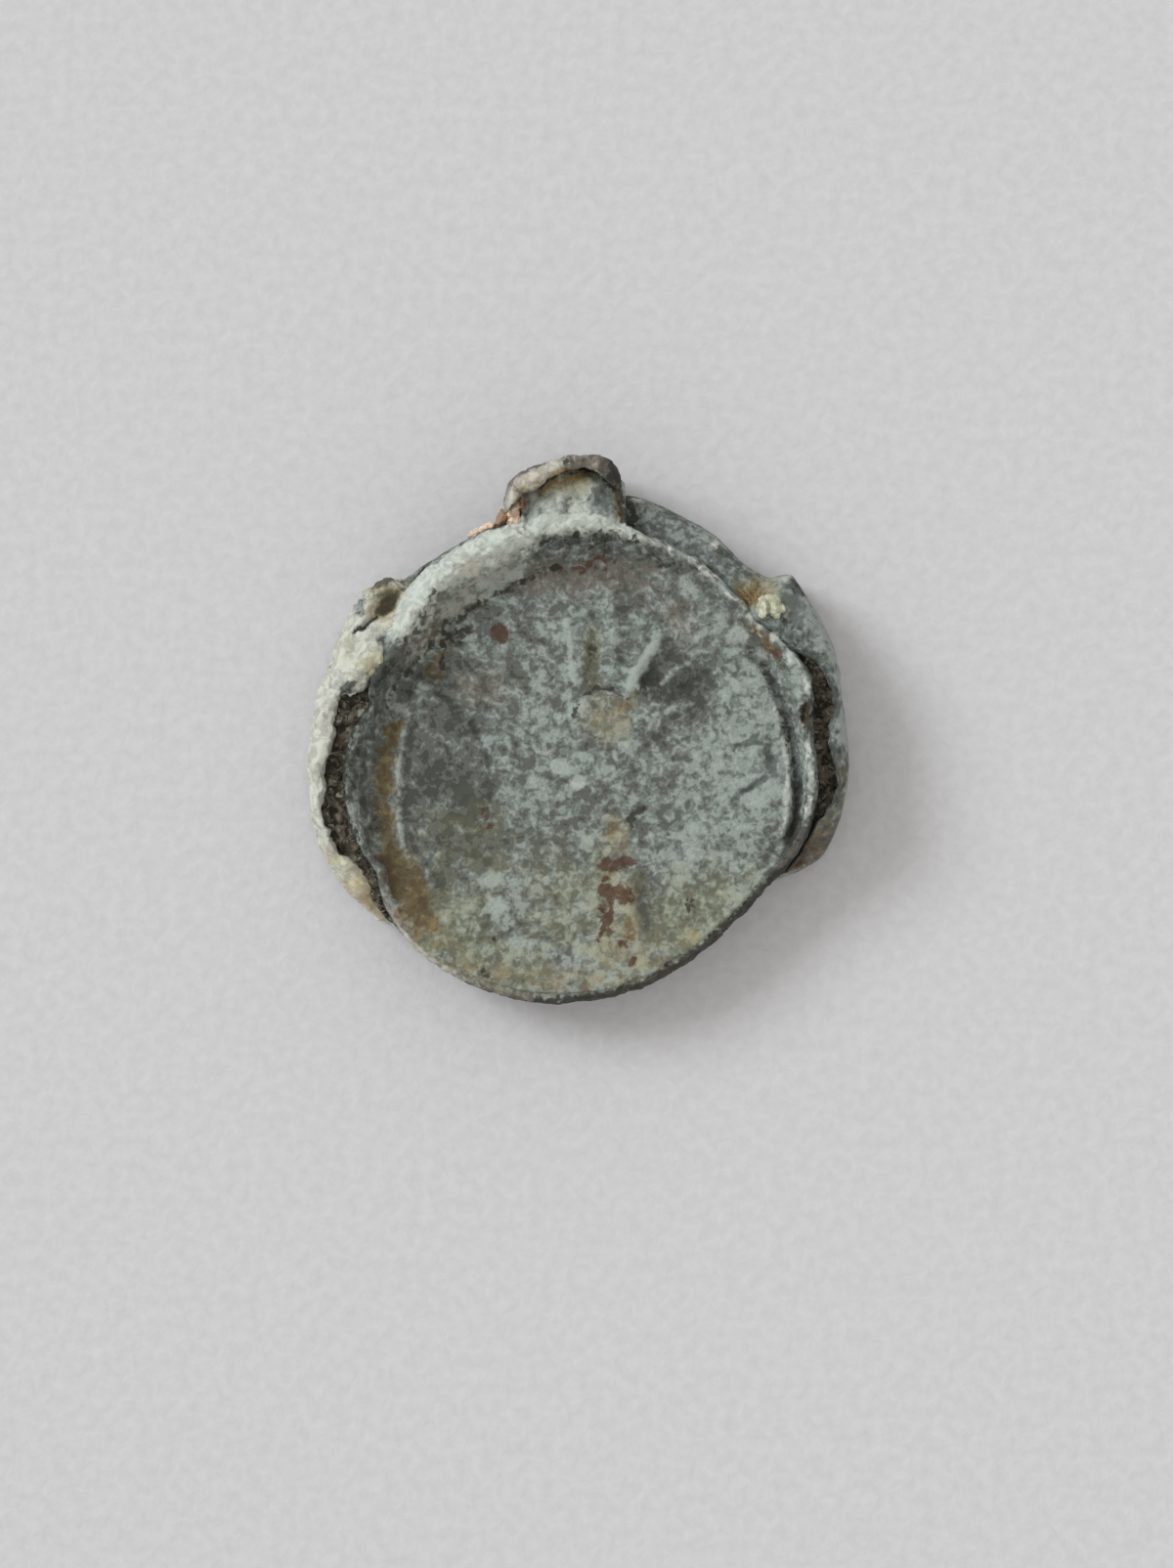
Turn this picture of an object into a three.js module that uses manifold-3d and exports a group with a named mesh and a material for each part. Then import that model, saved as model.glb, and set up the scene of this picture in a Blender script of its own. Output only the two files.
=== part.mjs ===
// A lead seal of the two-disc kind. It was cast flat as two discs joined by a strip, folded over
// the edge of a cloth, riveted through it, and struck with a round die that was set off centre.
// Sizes are in millimetres. The seal lies on its back: +Z comes up out of the struck face, +Y
// points to the folded strip, and the origin is the middle of the die's mark, on the surface
// that the seal rests on.
import * as THREE from "three";
import { mergeVertices } from "three/addons/utils/BufferGeometryUtils.js";
import Module from "manifold-3d";

const wasm = await Module();
wasm.setup();

// Layers, from the surface up
const rearThickness = 1.5;
const clothThickness = 0.4;
const clothInset = 0.2;
const clothThinning = 0.05;
const clothHem = 0.3;
const fieldThickness = 1.2;

// The die's mark in the front disc
const dieRadius = 9.2;
const channelWidth = 0.75;
const channelDepth = 0.12;
const borderWidth = 0.55;
const borderHeight = 0.2;
const rimTopWidth = 0.5;
const rimTopRound = 0.12;
const edgeRound = 0.3;

// The rear disc's rounded foot, the shallow ring under it, and its curled lips
const footRound = 0.7;
const backRingRadius = 6.4;
const backRingWidth = 0.8;
const backRingDepth = 0.12;
const lipTopWidth = 0.4;
const lipWall = 0.35;
const lipWallSlope = 0.1;

// The rivet, cast on the rear disc and hammered flat in the front one
const rivetRadius = 1;
const rivetHeadRadius = 1.3;
const rivetHeadDepth = 0.5;
const rivetRoot = 0.7;
const rivetProud = 0.08;
const rivetX = 0.5;
const rivetY = 2.9;
const rivetClearance = 0.06;
const cutPast = 1;

// Worn rays above the rivet
const rayWidth = 0.42;
const rayHeight = 0.2;
const rayGap = 0.45;

// The front disc's tongue, and the strip folded round its end
const tongueWidth = 4;
const tongueX = -0.75;
const tongueReach = 1.85;
const tongueHeight = 1.3;
const tongueCrown = 0.75;
const tongueFall = 0.35;
const stripWidth = 4.7;
const stripX = -1.15;
const stripThickness = 0.75;
const stripGap = 0.12;
const stripLift = 0.15;
const capOverhang = 0.35;
const capDroop = 0.5;
const endBow = 0.55;
const capCorner = 0.4;
const tabInset = 0.9;

const roundSteps = 120;
const stripSteps = 10;

// Sizes that change round the seal, as [degrees from +X, millimetres].
// Where the rim's crest lies, beyond the die's edge
const rimSpread = around([
  [0, -0.2], [14, 0.05], [26, 0.65], [38, 0.85], [46, 0.8], [53, 0.5], [62, 0.75], [76, 1.25],
  [92, 1.5], [113, 1.45], [130, 1.6], [150, 1.35], [166, 0.8], [190, 0.65], [208, 0.3],
  [222, -0.1], [245, -0.35], [265, -0.8], [290, -1.3], [312, -1.55], [330, -1.3], [342, -0.7],
]);
// How far the rim's outer flank runs out below its crest
const flankRun = around([
  [0, 0.2], [50, 0.2], [80, 0.3], [100, 0.7], [115, 0.85], [135, 0.65], [155, 0.45],
  [175, 0.25], [215, 0.2], [240, 0.15], [330, 0.15],
]);
// How high the rim's crest stands above the field
const rimRise = around([
  [0, 0.75], [20, 0.8], [45, 0.65], [60, 0.55], [75, 0.8], [92, 1.45], [135, 1.6], [160, 1.4],
  [185, 1.2], [205, 0.7], [220, 0.15], [235, -0.08], [320, -0.08], [336, 0.1], [348, 0.5],
]);
// How far the rear disc reaches beyond the front one
const ledgeRun = around([
  [0, 1.2], [12, 1.35], [20, 1.2], [30, 1.4], [40, 1.75], [47, 2], [51, 1.6], [75, 1.5],
  [83, 1.3], [100, 0.6], [111, 0.35], [130, 0.2], [134, 0.95], [138, 1.15], [153, 1.1],
  [166, 1.5], [184, 1.2], [200, 0.75], [211, 0.3], [222, -0.2], [240, -0.35], [325, -0.35],
  [336, 0.1], [341, 0.6], [346, 1.05],
]);
// How high the rear disc's curled lips stand above its plate
const lipRise = around([
  [0, 2.4], [20, 2.4], [40, 2.3], [47, 2], [50, 1.1], [60, 1.2], [74, 1.1], [81, 0],
  [130, 0], [134, 1.9], [145, 2.5], [165, 2.7], [190, 2.6], [205, 1.6], [214, 0.5], [220, 0],
  [333, 0], [338, 0.7], [345, 1], [349, 2],
]);
// The crevice between the front disc and the lips
const crevice = around([
  [0, 0.7], [12, 0.7], [22, 0.45], [35, 0.35], [42, 0.6], [48, 1], [54, 0.9], [59, 0.3],
  [66, 0.15], [78, 0.15], [90, 0.6], [115, 0.6], [130, 0.3], [136, 0.15], [154, 0.15],
  [168, 0.6], [188, 0.5], [208, 0.2], [341, 0.3], [352, 0.6],
]);
// How far the cloth shows beyond the front disc: it peeps out at the right shoulder and
// beside the tongue
const clothReach = around([
  [0, -0.5], [38, -0.4], [45, 0.3], [51, 0.9], [57, 0.4], [66, -0.4], [97, -0.3],
  [103, 0.15], [107, 0.25], [112, -0.2], [122, -0.5], [210, -0.5], [240, -0.9], [320, -0.9],
]);
// Rays as [degrees from +X, length]
const rays = [[107, 3.1], [83, 2.1], [59, 2.8], [35, 2.9], [12, 2.1]];

const plateTop = rearThickness;
const frontUnder = plateTop + clothThickness;
const field = frontUnder + fieldThickness;
const crestRadius = (angle) => dieRadius + rimSpread(angle);
const frontEdge = (angle) => crestRadius(angle) + flankRun(angle);
const rearEdge = (angle) => frontEdge(angle) + ledgeRun(angle);
const tongueEnd = frontEdge(90) + tongueReach;
const tongueRoot = crestRadius(90);
const tongueTop = field + tongueHeight;
const tabEnd = rearEdge(90) - tabInset;

// A smooth curve through [degrees, value] points that closes on itself and never overshoots.
function around(points) {
  const count = points.length;
  const point = (i) => {
    const turns = Math.floor(i / count);
    const [angle, value] = points[i - turns * count];
    return [angle + 360 * turns, value];
  };
  const slope = (i) => {
    const [[a0, v0], [a1, v1], [a2, v2]] = [point(i - 1), point(i), point(i + 1)];
    const before = (v1 - v0) / (a1 - a0);
    const after = (v2 - v1) / (a2 - a1);
    return before * after <= 0 ? 0 : (2 * before * after) / (before + after);
  };
  return (degrees) => {
    const angle = ((degrees % 360) + 360) % 360;
    const next = points.findIndex(([a]) => a > angle);
    const i = next < 0 ? count - 1 : next - 1;
    const [[a0, v0], [a1, v1]] = [point(i), point(i + 1)];
    const span = a1 - a0;
    const t = (angle - a0) / span;
    const blend = t * t * (3 - 2 * t);
    const ease = t * (1 - t) * ((1 - t) * slope(i) - t * slope(i + 1)) * span;
    return v0 + (v1 - v0) * blend + ease;
  };
}

// A turned body whose profile changes with the angle. profileAt gives [radius, height] pairs
// from the axis underneath, out round the edge, to the axis on top.
function turned(profileAt, steps = roundSteps) {
  const profile = (angle) => profileAt(angle).map(([r, z]) => new THREE.Vector2(r, z));
  const geometry = new THREE.LatheGeometry(profile(0), steps);
  const position = geometry.getAttribute("position");
  const rows = position.count / (steps + 1);
  for (let step = 0; step <= steps; step++) {
    const turn = ((step % steps) / steps) * 2 * Math.PI;
    profile(THREE.MathUtils.radToDeg(turn)).forEach(({ x: r, y: z }, row) => {
      position.setXYZ(step * rows + row, r * Math.cos(turn), r * Math.sin(turn), z);
    });
  }
  return geometry;
}

// Radii that each stay at least a little inside the one before, so that a profile never folds
// back where the die ran off the disc's edge.
function inwards(radii, least = 0.06) {
  return radii.reduce((kept, r) => [...kept, Math.min(r, (kept.at(-1) ?? Infinity) - least)], []);
}

function solid(geometry) {
  const bare = new THREE.BufferGeometry();
  bare.setAttribute("position", geometry.getAttribute("position").clone());
  if (geometry.index) bare.setIndex(geometry.index.clone());
  const merged = mergeVertices(bare, 1e-4);
  const mesh = new wasm.Mesh({
    numProp: 3,
    vertProperties: new Float32Array(merged.getAttribute("position").array),
    triVerts: new Uint32Array(merged.index.array),
  });
  return new wasm.Manifold(mesh);
}

function geometryOf(manifold) {
  const { vertProperties, triVerts, numProp } = manifold.getMesh();
  const corners = new Float32Array(triVerts.length * 3);
  triVerts.forEach((vertex, i) => {
    corners.set(vertProperties.subarray(vertex * numProp, vertex * numProp + 3), i * 3);
  });
  const geometry = new THREE.BufferGeometry();
  geometry.setAttribute("position", new THREE.BufferAttribute(corners, 3));
  geometry.computeVertexNormals();
  return geometry;
}

// The rivet's shape, grown by a clearance to cut its hole.
function rivetShape(bottom, top, grow = 0) {
  const shank = rivetRadius + grow;
  const head = rivetHeadRadius + grow;
  const profile = [[0, bottom], [shank, bottom], [shank, field - rivetHeadDepth], [head, field]];
  profile.push([head, top], [0, top]);
  return turned(() => profile, 40).translate(rivetX, rivetY, 0);
}

// How far the tongue's end and the fold curve back towards their sides.
function bow(x) {
  const share = (x - tongueX) / (tongueWidth / 2);
  return endBow * share * share;
}

function rearDisc() {
  const plate = turned((angle) => {
    const edge = rearEdge(angle);
    const rise = lipRise(angle);
    const crest = plateTop + rise;
    const inner = frontEdge(angle) + crevice(angle);
    const lipTop = Math.min(edge - lipWall, inner + lipTopWidth);
    const [outer, top, shoulder, wall, floor] = inwards([
      edge - lipWall / 2, Math.max(lipTop, inner + lipWall), inner + lipWallSlope, inner,
      inner - lipWallSlope,
    ]);
    return [
      [0, 0],
      [backRingRadius - backRingWidth, 0],
      [backRingRadius - (2 * backRingWidth) / 3, backRingDepth],
      [backRingRadius - backRingWidth / 3, backRingDepth],
      [backRingRadius, 0],
      [edge - footRound, 0],
      [edge - footRound / 4, footRound / 2],
      [edge, plateTop * 0.7],
      [outer, plateTop + rise * 0.55],
      [top, crest],
      [shoulder, crest - rise * 0.08],
      [wall, plateTop + rise * 0.1],
      [floor, plateTop],
      [0, plateTop],
    ];
  });
  const socket = new THREE.CylinderGeometry(
    rivetRadius + rivetClearance, rivetRadius + rivetClearance, rivetRoot * 2, 40,
  );
  socket.rotateX(Math.PI / 2).translate(rivetX, rivetY, plateTop);
  const notch = new THREE.BoxGeometry(stripWidth + 2 * stripGap, tongueReach * 2, plateTop * 4);
  notch.translate(stripX, tabEnd + tongueReach, 0);
  const tab = new THREE.BoxGeometry(stripWidth, tongueReach * 2, stripThickness);
  tab.translate(stripX, tabEnd - tongueReach, stripLift + stripThickness / 2);
  return geometryOf(solid(plate).subtract(solid(socket)).subtract(solid(notch)).add(solid(tab)));
}

function frontDisc() {
  const disc = turned((angle) => {
    const crest = crestRadius(angle);
    const edge = frontEdge(angle);
    const top = field + rimRise(angle);
    const marked = THREE.MathUtils.smoothstep(rimRise(angle), 0, 0.5);
    const border = dieRadius - channelWidth;
    const [outer, ridge, inner, foot, channel, borderOut, borderIn, borderFoot] = inwards([
      crest + rimTopWidth / 4, crest, crest - rimTopWidth / 2, dieRadius, border,
      border - borderWidth / 3, border - (2 * borderWidth) / 3, border - borderWidth,
    ]);
    const sunk = field - channelDepth * marked;
    return [
      [0, frontUnder],
      [edge - edgeRound, frontUnder],
      [edge, frontUnder + edgeRound],
      [edge, frontUnder + (top - frontUnder) * 0.55],
      [outer, top - rimTopRound],
      [ridge, top],
      [inner, top - rimTopRound],
      [foot, sunk],
      [channel, sunk],
      [borderOut, field + borderHeight * marked],
      [borderIn, field + borderHeight * marked],
      [borderFoot, field],
      [0, field],
    ];
  });
  let body = solid(disc).add(solid(tongue()));
  for (const [angle, length] of rays) body = body.add(solid(ray(angle, length)));
  const hole = rivetShape(frontUnder - cutPast, field + cutPast, rivetClearance);
  return geometryOf(body.subtract(solid(hole)));
}

// The crowned tongue that runs out from the rim to the fold.
function tongue() {
  const half = tongueWidth / 2;
  const crown = (x) => tongueTop - tongueCrown * (x / half) ** 4;
  const outline = new THREE.Shape();
  outline.moveTo(-half, frontUnder);
  for (let i = 1; i <= stripSteps; i++) {
    outline.lineTo(-half + (i / stripSteps) * tongueWidth, frontUnder);
  }
  for (let i = stripSteps; i >= 0; i--) {
    const x = -half + (i / stripSteps) * tongueWidth;
    outline.lineTo(x, crown(x));
  }
  const length = tongueEnd - tongueRoot;
  const geometry = new THREE.ExtrudeGeometry(outline, { depth: length, bevelEnabled: false });
  geometry.rotateX(Math.PI / 2).translate(tongueX, tongueEnd, 0);
  const position = geometry.getAttribute("position");
  for (let i = 0; i < position.count; i++) {
    if (position.getY(i) < (tongueEnd + tongueRoot) / 2) continue;
    position.setY(i, position.getY(i) - bow(position.getX(i)));
    if (position.getZ(i) > field) position.setZ(i, position.getZ(i) - tongueFall);
  }
  return geometry;
}

// A low rounded bar that points away from the rivet.
function ray(angle, length) {
  const turn = THREE.MathUtils.degToRad(angle);
  const middle = rivetHeadRadius + rayGap + length / 2;
  const bar = new THREE.CapsuleGeometry(rayWidth / 2, length - rayWidth, 3, 8);
  bar.rotateZ(turn - Math.PI / 2).scale(1, 1, rayHeight / (rayWidth / 2));
  return bar.translate(rivetX + middle * Math.cos(turn), rivetY + middle * Math.sin(turn), field);
}

// The strip, as a flat C that leaves the rear disc, turns up round the tongue and curls over it.
function connectingStrip() {
  const low = stripLift;
  const high = tongueTop + stripThickness;
  const inside = tongueEnd + stripGap;
  const centre = inside - capOverhang;
  const middle = (low + high) / 2;
  const section = new THREE.Shape();
  section.moveTo(tabEnd, low);
  section.lineTo(centre, low);
  section.absellipse(
    centre, middle, inside + stripThickness - centre, (high - low) / 2, -Math.PI / 2, Math.PI / 2,
  );
  section.lineTo(centre, high - stripThickness);
  section.lineTo(inside, high - stripThickness);
  section.lineTo(inside, low + stripThickness);
  section.lineTo(tabEnd, low + stripThickness);
  const options = { depth: stripWidth, steps: stripSteps, bevelEnabled: false, curveSegments: 10 };
  const geometry = new THREE.ExtrudeGeometry(section, options);
  geometry.rotateY(Math.PI / 2).rotateX(Math.PI / 2).translate(stripX - stripWidth / 2, 0, 0);
  const position = geometry.getAttribute("position");
  for (let i = 0; i < position.count; i++) {
    const [x, y, z] = [position.getX(i), position.getY(i), position.getZ(i)];
    const out = THREE.MathUtils.smoothstep(y, tabEnd, centre);
    const up = THREE.MathUtils.smoothstep(z, middle, high);
    const share = (x - stripX) / (stripWidth / 2);
    const outer = THREE.MathUtils.smoothstep(y, inside, inside + stripThickness);
    position.setY(i, y - bow(x) * out - capCorner * share ** 10 * outer);
    position.setZ(i, z - capDroop * share ** 4 * up);
  }
  return geometry;
}

function clothRemains() {
  const pad = turned((angle) => {
    const room = Math.min(ledgeRun(angle), crevice(angle)) - clothInset;
    const edge = frontEdge(angle) + Math.min(clothReach(angle), room);
    return [
      [0, plateTop],
      [edge, plateTop],
      [edge, frontUnder - clothThinning],
      [edge - clothHem, frontUnder],
      [0, frontUnder],
    ];
  });
  const hole = rivetShape(plateTop - cutPast, field, rivetClearance);
  return geometryOf(solid(pad).subtract(solid(hole)));
}

// Colours are the weathered metal's and the cloth's, as seen in daylight.
const finishes = {
  rear_disc: { color: 0x76807c, roughness: 0.72, metalness: 0.25 },
  cloth_remains: { color: 0x8a6238, roughness: 0.95, metalness: 0 },
  front_disc: { color: 0x8f9a96, roughness: 0.7, metalness: 0.25 },
  connecting_strip: { color: 0x857f70, roughness: 0.75, metalness: 0.2 },
  rivet: { color: 0xa39a7c, roughness: 0.75, metalness: 0.2 },
};

const shapes = {
  rear_disc: rearDisc(),
  cloth_remains: clothRemains(),
  front_disc: frontDisc(),
  connecting_strip: connectingStrip(),
  rivet: rivetShape(plateTop - rivetRoot, field + rivetProud),
};

const leadSeal = new THREE.Group();
for (const [name, geometry] of Object.entries(shapes)) {
  const mesh = new THREE.Mesh(geometry, new THREE.MeshStandardMaterial(finishes[name]));
  mesh.name = name;
  leadSeal.add(mesh);
}

export default leadSeal;
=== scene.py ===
import math

import bmesh
import bpy
import numpy as np
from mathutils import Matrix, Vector, noise
from mathutils.bvhtree import BVHTree


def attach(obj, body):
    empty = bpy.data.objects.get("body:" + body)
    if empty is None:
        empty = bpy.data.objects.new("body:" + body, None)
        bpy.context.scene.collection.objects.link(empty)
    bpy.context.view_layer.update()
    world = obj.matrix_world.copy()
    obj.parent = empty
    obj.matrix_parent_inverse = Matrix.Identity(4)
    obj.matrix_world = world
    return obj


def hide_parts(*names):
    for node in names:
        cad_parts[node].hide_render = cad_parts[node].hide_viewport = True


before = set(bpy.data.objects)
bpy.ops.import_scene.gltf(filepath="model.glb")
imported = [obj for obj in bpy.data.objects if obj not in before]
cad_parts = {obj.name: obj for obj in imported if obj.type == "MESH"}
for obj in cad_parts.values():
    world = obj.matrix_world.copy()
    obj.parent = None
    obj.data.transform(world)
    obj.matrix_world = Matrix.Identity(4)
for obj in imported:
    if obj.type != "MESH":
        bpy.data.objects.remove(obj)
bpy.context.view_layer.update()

# A struck lead seal on a sheet of paper. Lengths are in millimetres until place() is called,
# angles are in degrees round the middle of the die's mark, from +X towards +Y.
mm = 0.001
scene = bpy.context.scene
rng = np.random.default_rng(7)

# Curves, noise and masks

def ringCurve(knots):
    # smooth closed curve through (degrees, value) knots, with no overshoot
    angle, value = np.array(knots, float).T
    step = np.diff(np.append(angle, angle[0] + 360))
    rise = np.diff(np.append(value, value[0])) / step
    before = np.roll(rise, 1)
    total = np.where(before * rise > 0, before + rise, 1)
    slope = np.where(before * rise > 0, 2 * before * rise / total, 0)

    def at(degrees):
        i = (np.searchsorted(angle, np.mod(degrees, 360), side="right") - 1) % len(angle)
        j = (i + 1) % len(angle)
        t = np.mod(degrees - angle[i], 360) / step[i]
        ease = t * (1 - t) * ((1 - t) * slope[i] - t * slope[j]) * step[i]
        return value[i] + (value[j] - value[i]) * t * t * (3 - 2 * t) + ease

    return at


def ramp(x, low, high):
    t = np.clip((x - low) / (high - low), 0, 1)
    return t * t * (3 - 2 * t)


def sector(angle, start, end, soft):
    # 1 between two angles, which may pass through 0
    span = (end - start) % 360
    along = np.mod(angle - start, 360)
    along = np.where(along > (span + 360) / 2, along - 360, along)
    return ramp(along, -soft / 2, soft / 2) * ramp(-along, -span - soft / 2, -span + soft / 2)


def zonesOf(look, angle):
    # masks for the named parts of a disc's round
    return {key: sector(angle, *limits) for key, limits in look["zones"].items()}


def band(x, middle, width):
    return np.exp(-(((x - middle) / width) ** 2))


fractal = (0.9, 2.1, 3)   # smoothness, step in scale and octaves of all the noise


def lumps(points, size, seed):
    # fractal noise round zero, with features about "size" across
    shift = Vector((13.7 * seed, 7.3 * seed, 3.1 * seed))
    return np.array([noise.fractal(Vector(p) + shift, *fractal) for p in points / size])


def weather(points, rows, crusty=0.0):
    # layers of noise and their summed height; rows are size, seed, height, height added on crust
    layers = [lumps(points, size, seed) for size, seed, _, _ in rows]
    heights = [plain + extra * crusty for _, _, plain, extra in rows]
    return layers, sum(height * layer for height, layer in zip(heights, layers))


def swayed(points, sway, size, seed):
    # x and y, bent by noise so that what is drawn with them has uneven edges
    return [points[:, k] + sway * lumps(points, size, seed + k) for k in (0, 1)]


def grains(points, size, seed):
    # chunky lumps with creases between them, 0 to 1
    shift = Vector((5.1 * seed, 9.7 * seed, 2.3 * seed))
    near = [noise.voronoi(Vector(p) + shift)[0] for p in points / size]
    return np.array([min(1.0, 1.6 * (d[1] - d[0])) for d in near])


def chunks(points, rows, level=0.45):
    # height of a chunky crust, from rows of size, seed, height
    return sum(tall * (grains(points, size, seed) - level) for size, seed, tall in rows)


def spot(x, y, x0, y0, halfLong, halfWide, turn=0):
    # soft oval mask round a middle
    c, s = math.cos(math.radians(turn)), math.sin(math.radians(turn))
    dx, dy = x - x0, y - y0
    along, across = (c * dx + s * dy) / halfLong, (c * dy - s * dx) / halfWide
    return np.exp(-0.7 * (along ** 2 + across ** 2) ** 1.4)


def stroke(x, y, x0, y0, x1, y1, width):
    # rounded bar from a start to an end
    dx, dy = x1 - x0, y1 - y0
    t = np.clip(((x - x0) * dx + (y - y0) * dy) / (dx * dx + dy * dy), 0, 1)
    return np.exp(-(np.hypot(x - x0 - t * dx, y - y0 - t * dy) / width) ** 2)


def polar(x, y):
    return np.hypot(x, y), np.mod(np.degrees(np.arctan2(y, x)), 360)


def spreadAngles(count, busy=()):
    # angles round the circle, closer together near each busy (angle, width, extra)
    steps = np.linspace(0, 360, 3601)
    density = np.ones_like(steps)
    for middle, width, extra in busy:
        density += extra * band(np.mod(steps - middle + 180, 360) - 180, 0, width)
    total = np.concatenate([[0], np.cumsum((density[1:] + density[:-1]) / 2)])
    return np.interp(np.arange(count) / count * total[-1], total, steps)

# Mesh builders

def splineWeights(controls, samples):
    # cubic B-spline weights of the samples, which are given in control numbers
    weights = np.zeros((len(samples), controls))
    for row, u in enumerate(samples):
        i = min(int(u), controls - 2)
        t = u - i
        four = [(1 - t) ** 3, 3 * t ** 3 - 6 * t ** 2 + 4, -3 * t ** 3 + 3 * t ** 2 + 3 * t + 1, t ** 3]
        for k, weight in enumerate(four):
            weights[row, min(max(i - 1 + k, 0), controls - 1)] += weight / 6
    weights[[0, -1]] = 0
    weights[0, 0] = weights[-1, -1] = 1
    return weights


def rowSamples(counts):
    # counts[i] samples between control i and control i + 1
    rows = [i + np.arange(count) / count for i, count in enumerate(counts)]
    return np.append(np.concatenate(rows), len(counts))


def turnedMesh(name, angles, controls, counts, coarser=(5, 2.5, 1.2)):
    # controls is [control][r or z][angle]; the first and last controls lie on the axis, and inside
    # each of the coarser radii a row has half as many points
    samples = rowSamples(counts)
    rows = np.einsum("sc,cka->ska", splineWeights(len(controls), samples), np.array(controls))
    rows[[0, -1], 0] = 0
    columns, turn = len(angles), np.radians(angles)
    points, firsts, strides, params = [], [], [], []
    for row, u in zip(rows, samples):
        mean = row[0].mean()
        stride = columns if mean == 0 else 2 ** sum(mean < least for least in coarser)
        picked = slice(None, None, stride)
        firsts.append(sum(len(p) for p in points))
        strides.append(stride)
        r, z = row[0][picked], row[1][picked]
        points.append(np.stack([r * np.cos(turn[picked]), r * np.sin(turn[picked]), z], axis=1))
        params.append(np.full(len(r), u))
    faces = []
    for j in range(len(rows) - 1):
        faces += stitch(firsts[j], columns // strides[j], firsts[j + 1], columns // strides[j + 1])
    return finishMesh(name, np.concatenate(points), faces), np.concatenate(params)


def stitch(a, countA, b, countB):
    # faces between two rings of equal count, or of which one has twice as many points or just one
    if countA == 1:
        return [(a, b + (k + 1) % countB, b + k) for k in range(countB)]
    if countB == 1:
        return [(a + k, a + (k + 1) % countA, b) for k in range(countA)]
    if countA == countB:
        return [(a + k, a + (k + 1) % countA, b + (k + 1) % countB, b + k) for k in range(countA)]
    faces, least = [], min(countA, countB)
    for k in range(least):
        n, even, odd, after = (k + 1) % least, 2 * k, 2 * k + 1, 2 * ((k + 1) % least)
        if countA > countB:
            faces += [(a + even, a + odd, b + k), (a + odd, a + after, b + n), (a + odd, b + n, b + k)]
        else:
            faces += [(a + k, b + odd, b + even), (a + n, b + after, b + odd), (a + k, a + n, b + odd)]
    return faces


def loopMesh(name, sections, closed):
    # sections is [section][point][x, y, z], each one a closed loop; the run of sections may close too
    count, runs = len(sections[0]), len(sections)
    faces = []
    for j in range(runs if closed else runs - 1):
        faces += stitch(j * count, count, (j + 1) % runs * count, count)
    if not closed:
        faces += [tuple(range(count)), tuple(range((runs - 1) * count, runs * count))]
    return finishMesh(name, np.concatenate(sections), faces)


def finishMesh(name, points, faces):
    mesh = bpy.data.meshes.new(name)
    mesh.from_pydata(points.tolist(), [], faces)
    bm = bmesh.new()
    bm.from_mesh(mesh)
    bmesh.ops.recalc_face_normals(bm, faces=bm.faces)
    bm.to_mesh(mesh)
    bm.free()
    mesh.polygons.foreach_set("use_smooth", [True] * len(mesh.polygons))
    piece = bpy.data.objects.new(name, mesh)
    scene.collection.objects.link(piece)
    return piece


def shapeOf(piece):
    # points and normals of a piece
    points, normals = (np.empty(len(piece.data.vertices) * 3) for _ in range(2))
    piece.data.vertices.foreach_get("co", points)
    piece.data.vertex_normals.foreach_get("vector", normals)
    return points.reshape(-1, 3), normals.reshape(-1, 3)


def groundUnder(pieces):
    # height of the topmost of the pieces at a place
    trees, sky = [], 20
    for piece in pieces:
        faces = [tuple(face.vertices) for face in piece.data.polygons]
        trees.append(BVHTree.FromPolygons(shapeOf(piece)[0].tolist(), faces))

    def at(x, y):
        hits = [tree.ray_cast(Vector((x, y, sky)), Vector((0, 0, -1)))[0] for tree in trees]
        return max((hit.z for hit in hits if hit), default=seal["plateTop"])

    return at


def setPoints(piece, points):
    piece.data.vertices.foreach_set("co", points.ravel())
    piece.data.update()


maskNames = ("tone", "slate_and_shade", "chalk", "blush", "lichen", "tan", "ochre", "rust", "soil_and_shade")


def blankMasks(count):
    masks = {key: np.zeros(count) for key in maskNames}
    masks["tone"] += 0.5
    return masks


def stain(masks, points, seen, look):
    # stains, some of them painted shade, are middle, half sizes, turn, strength, and streaks are start,
    # end, half width, strength
    x, y = swayed(points, 0.12, 0.7, 61)
    for shape, table in ((spot, look["stains"]), (stroke, look["streaks"])):
        for key, rows in table.items():
            for *where, strength in rows:
                masks[key] = np.maximum(masks[key], strength * shape(x, y, *where) * seen)


def paint(piece, masks):
    # stores each mask as a number at each vertex, for the material to read
    for key, values in masks.items():
        layer = piece.data.attributes.new(key, "FLOAT", "POINT")
        layer.data.foreach_set("value", np.clip(values, 0, 1).astype(np.float32))


def place(piece, node, material):
    # gives a finished piece its metres, material and body, and hides the imported part it stands for
    setPoints(piece, shapeOf(piece)[0] * mm)
    piece.data.materials.clear()
    piece.data.materials.append(material)
    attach(piece, "root")
    if node:
        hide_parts(node)
    print("made", piece.name, len(piece.data.polygons), "faces")

# Shape of the struck pair, shared by the pieces that touch

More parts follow.
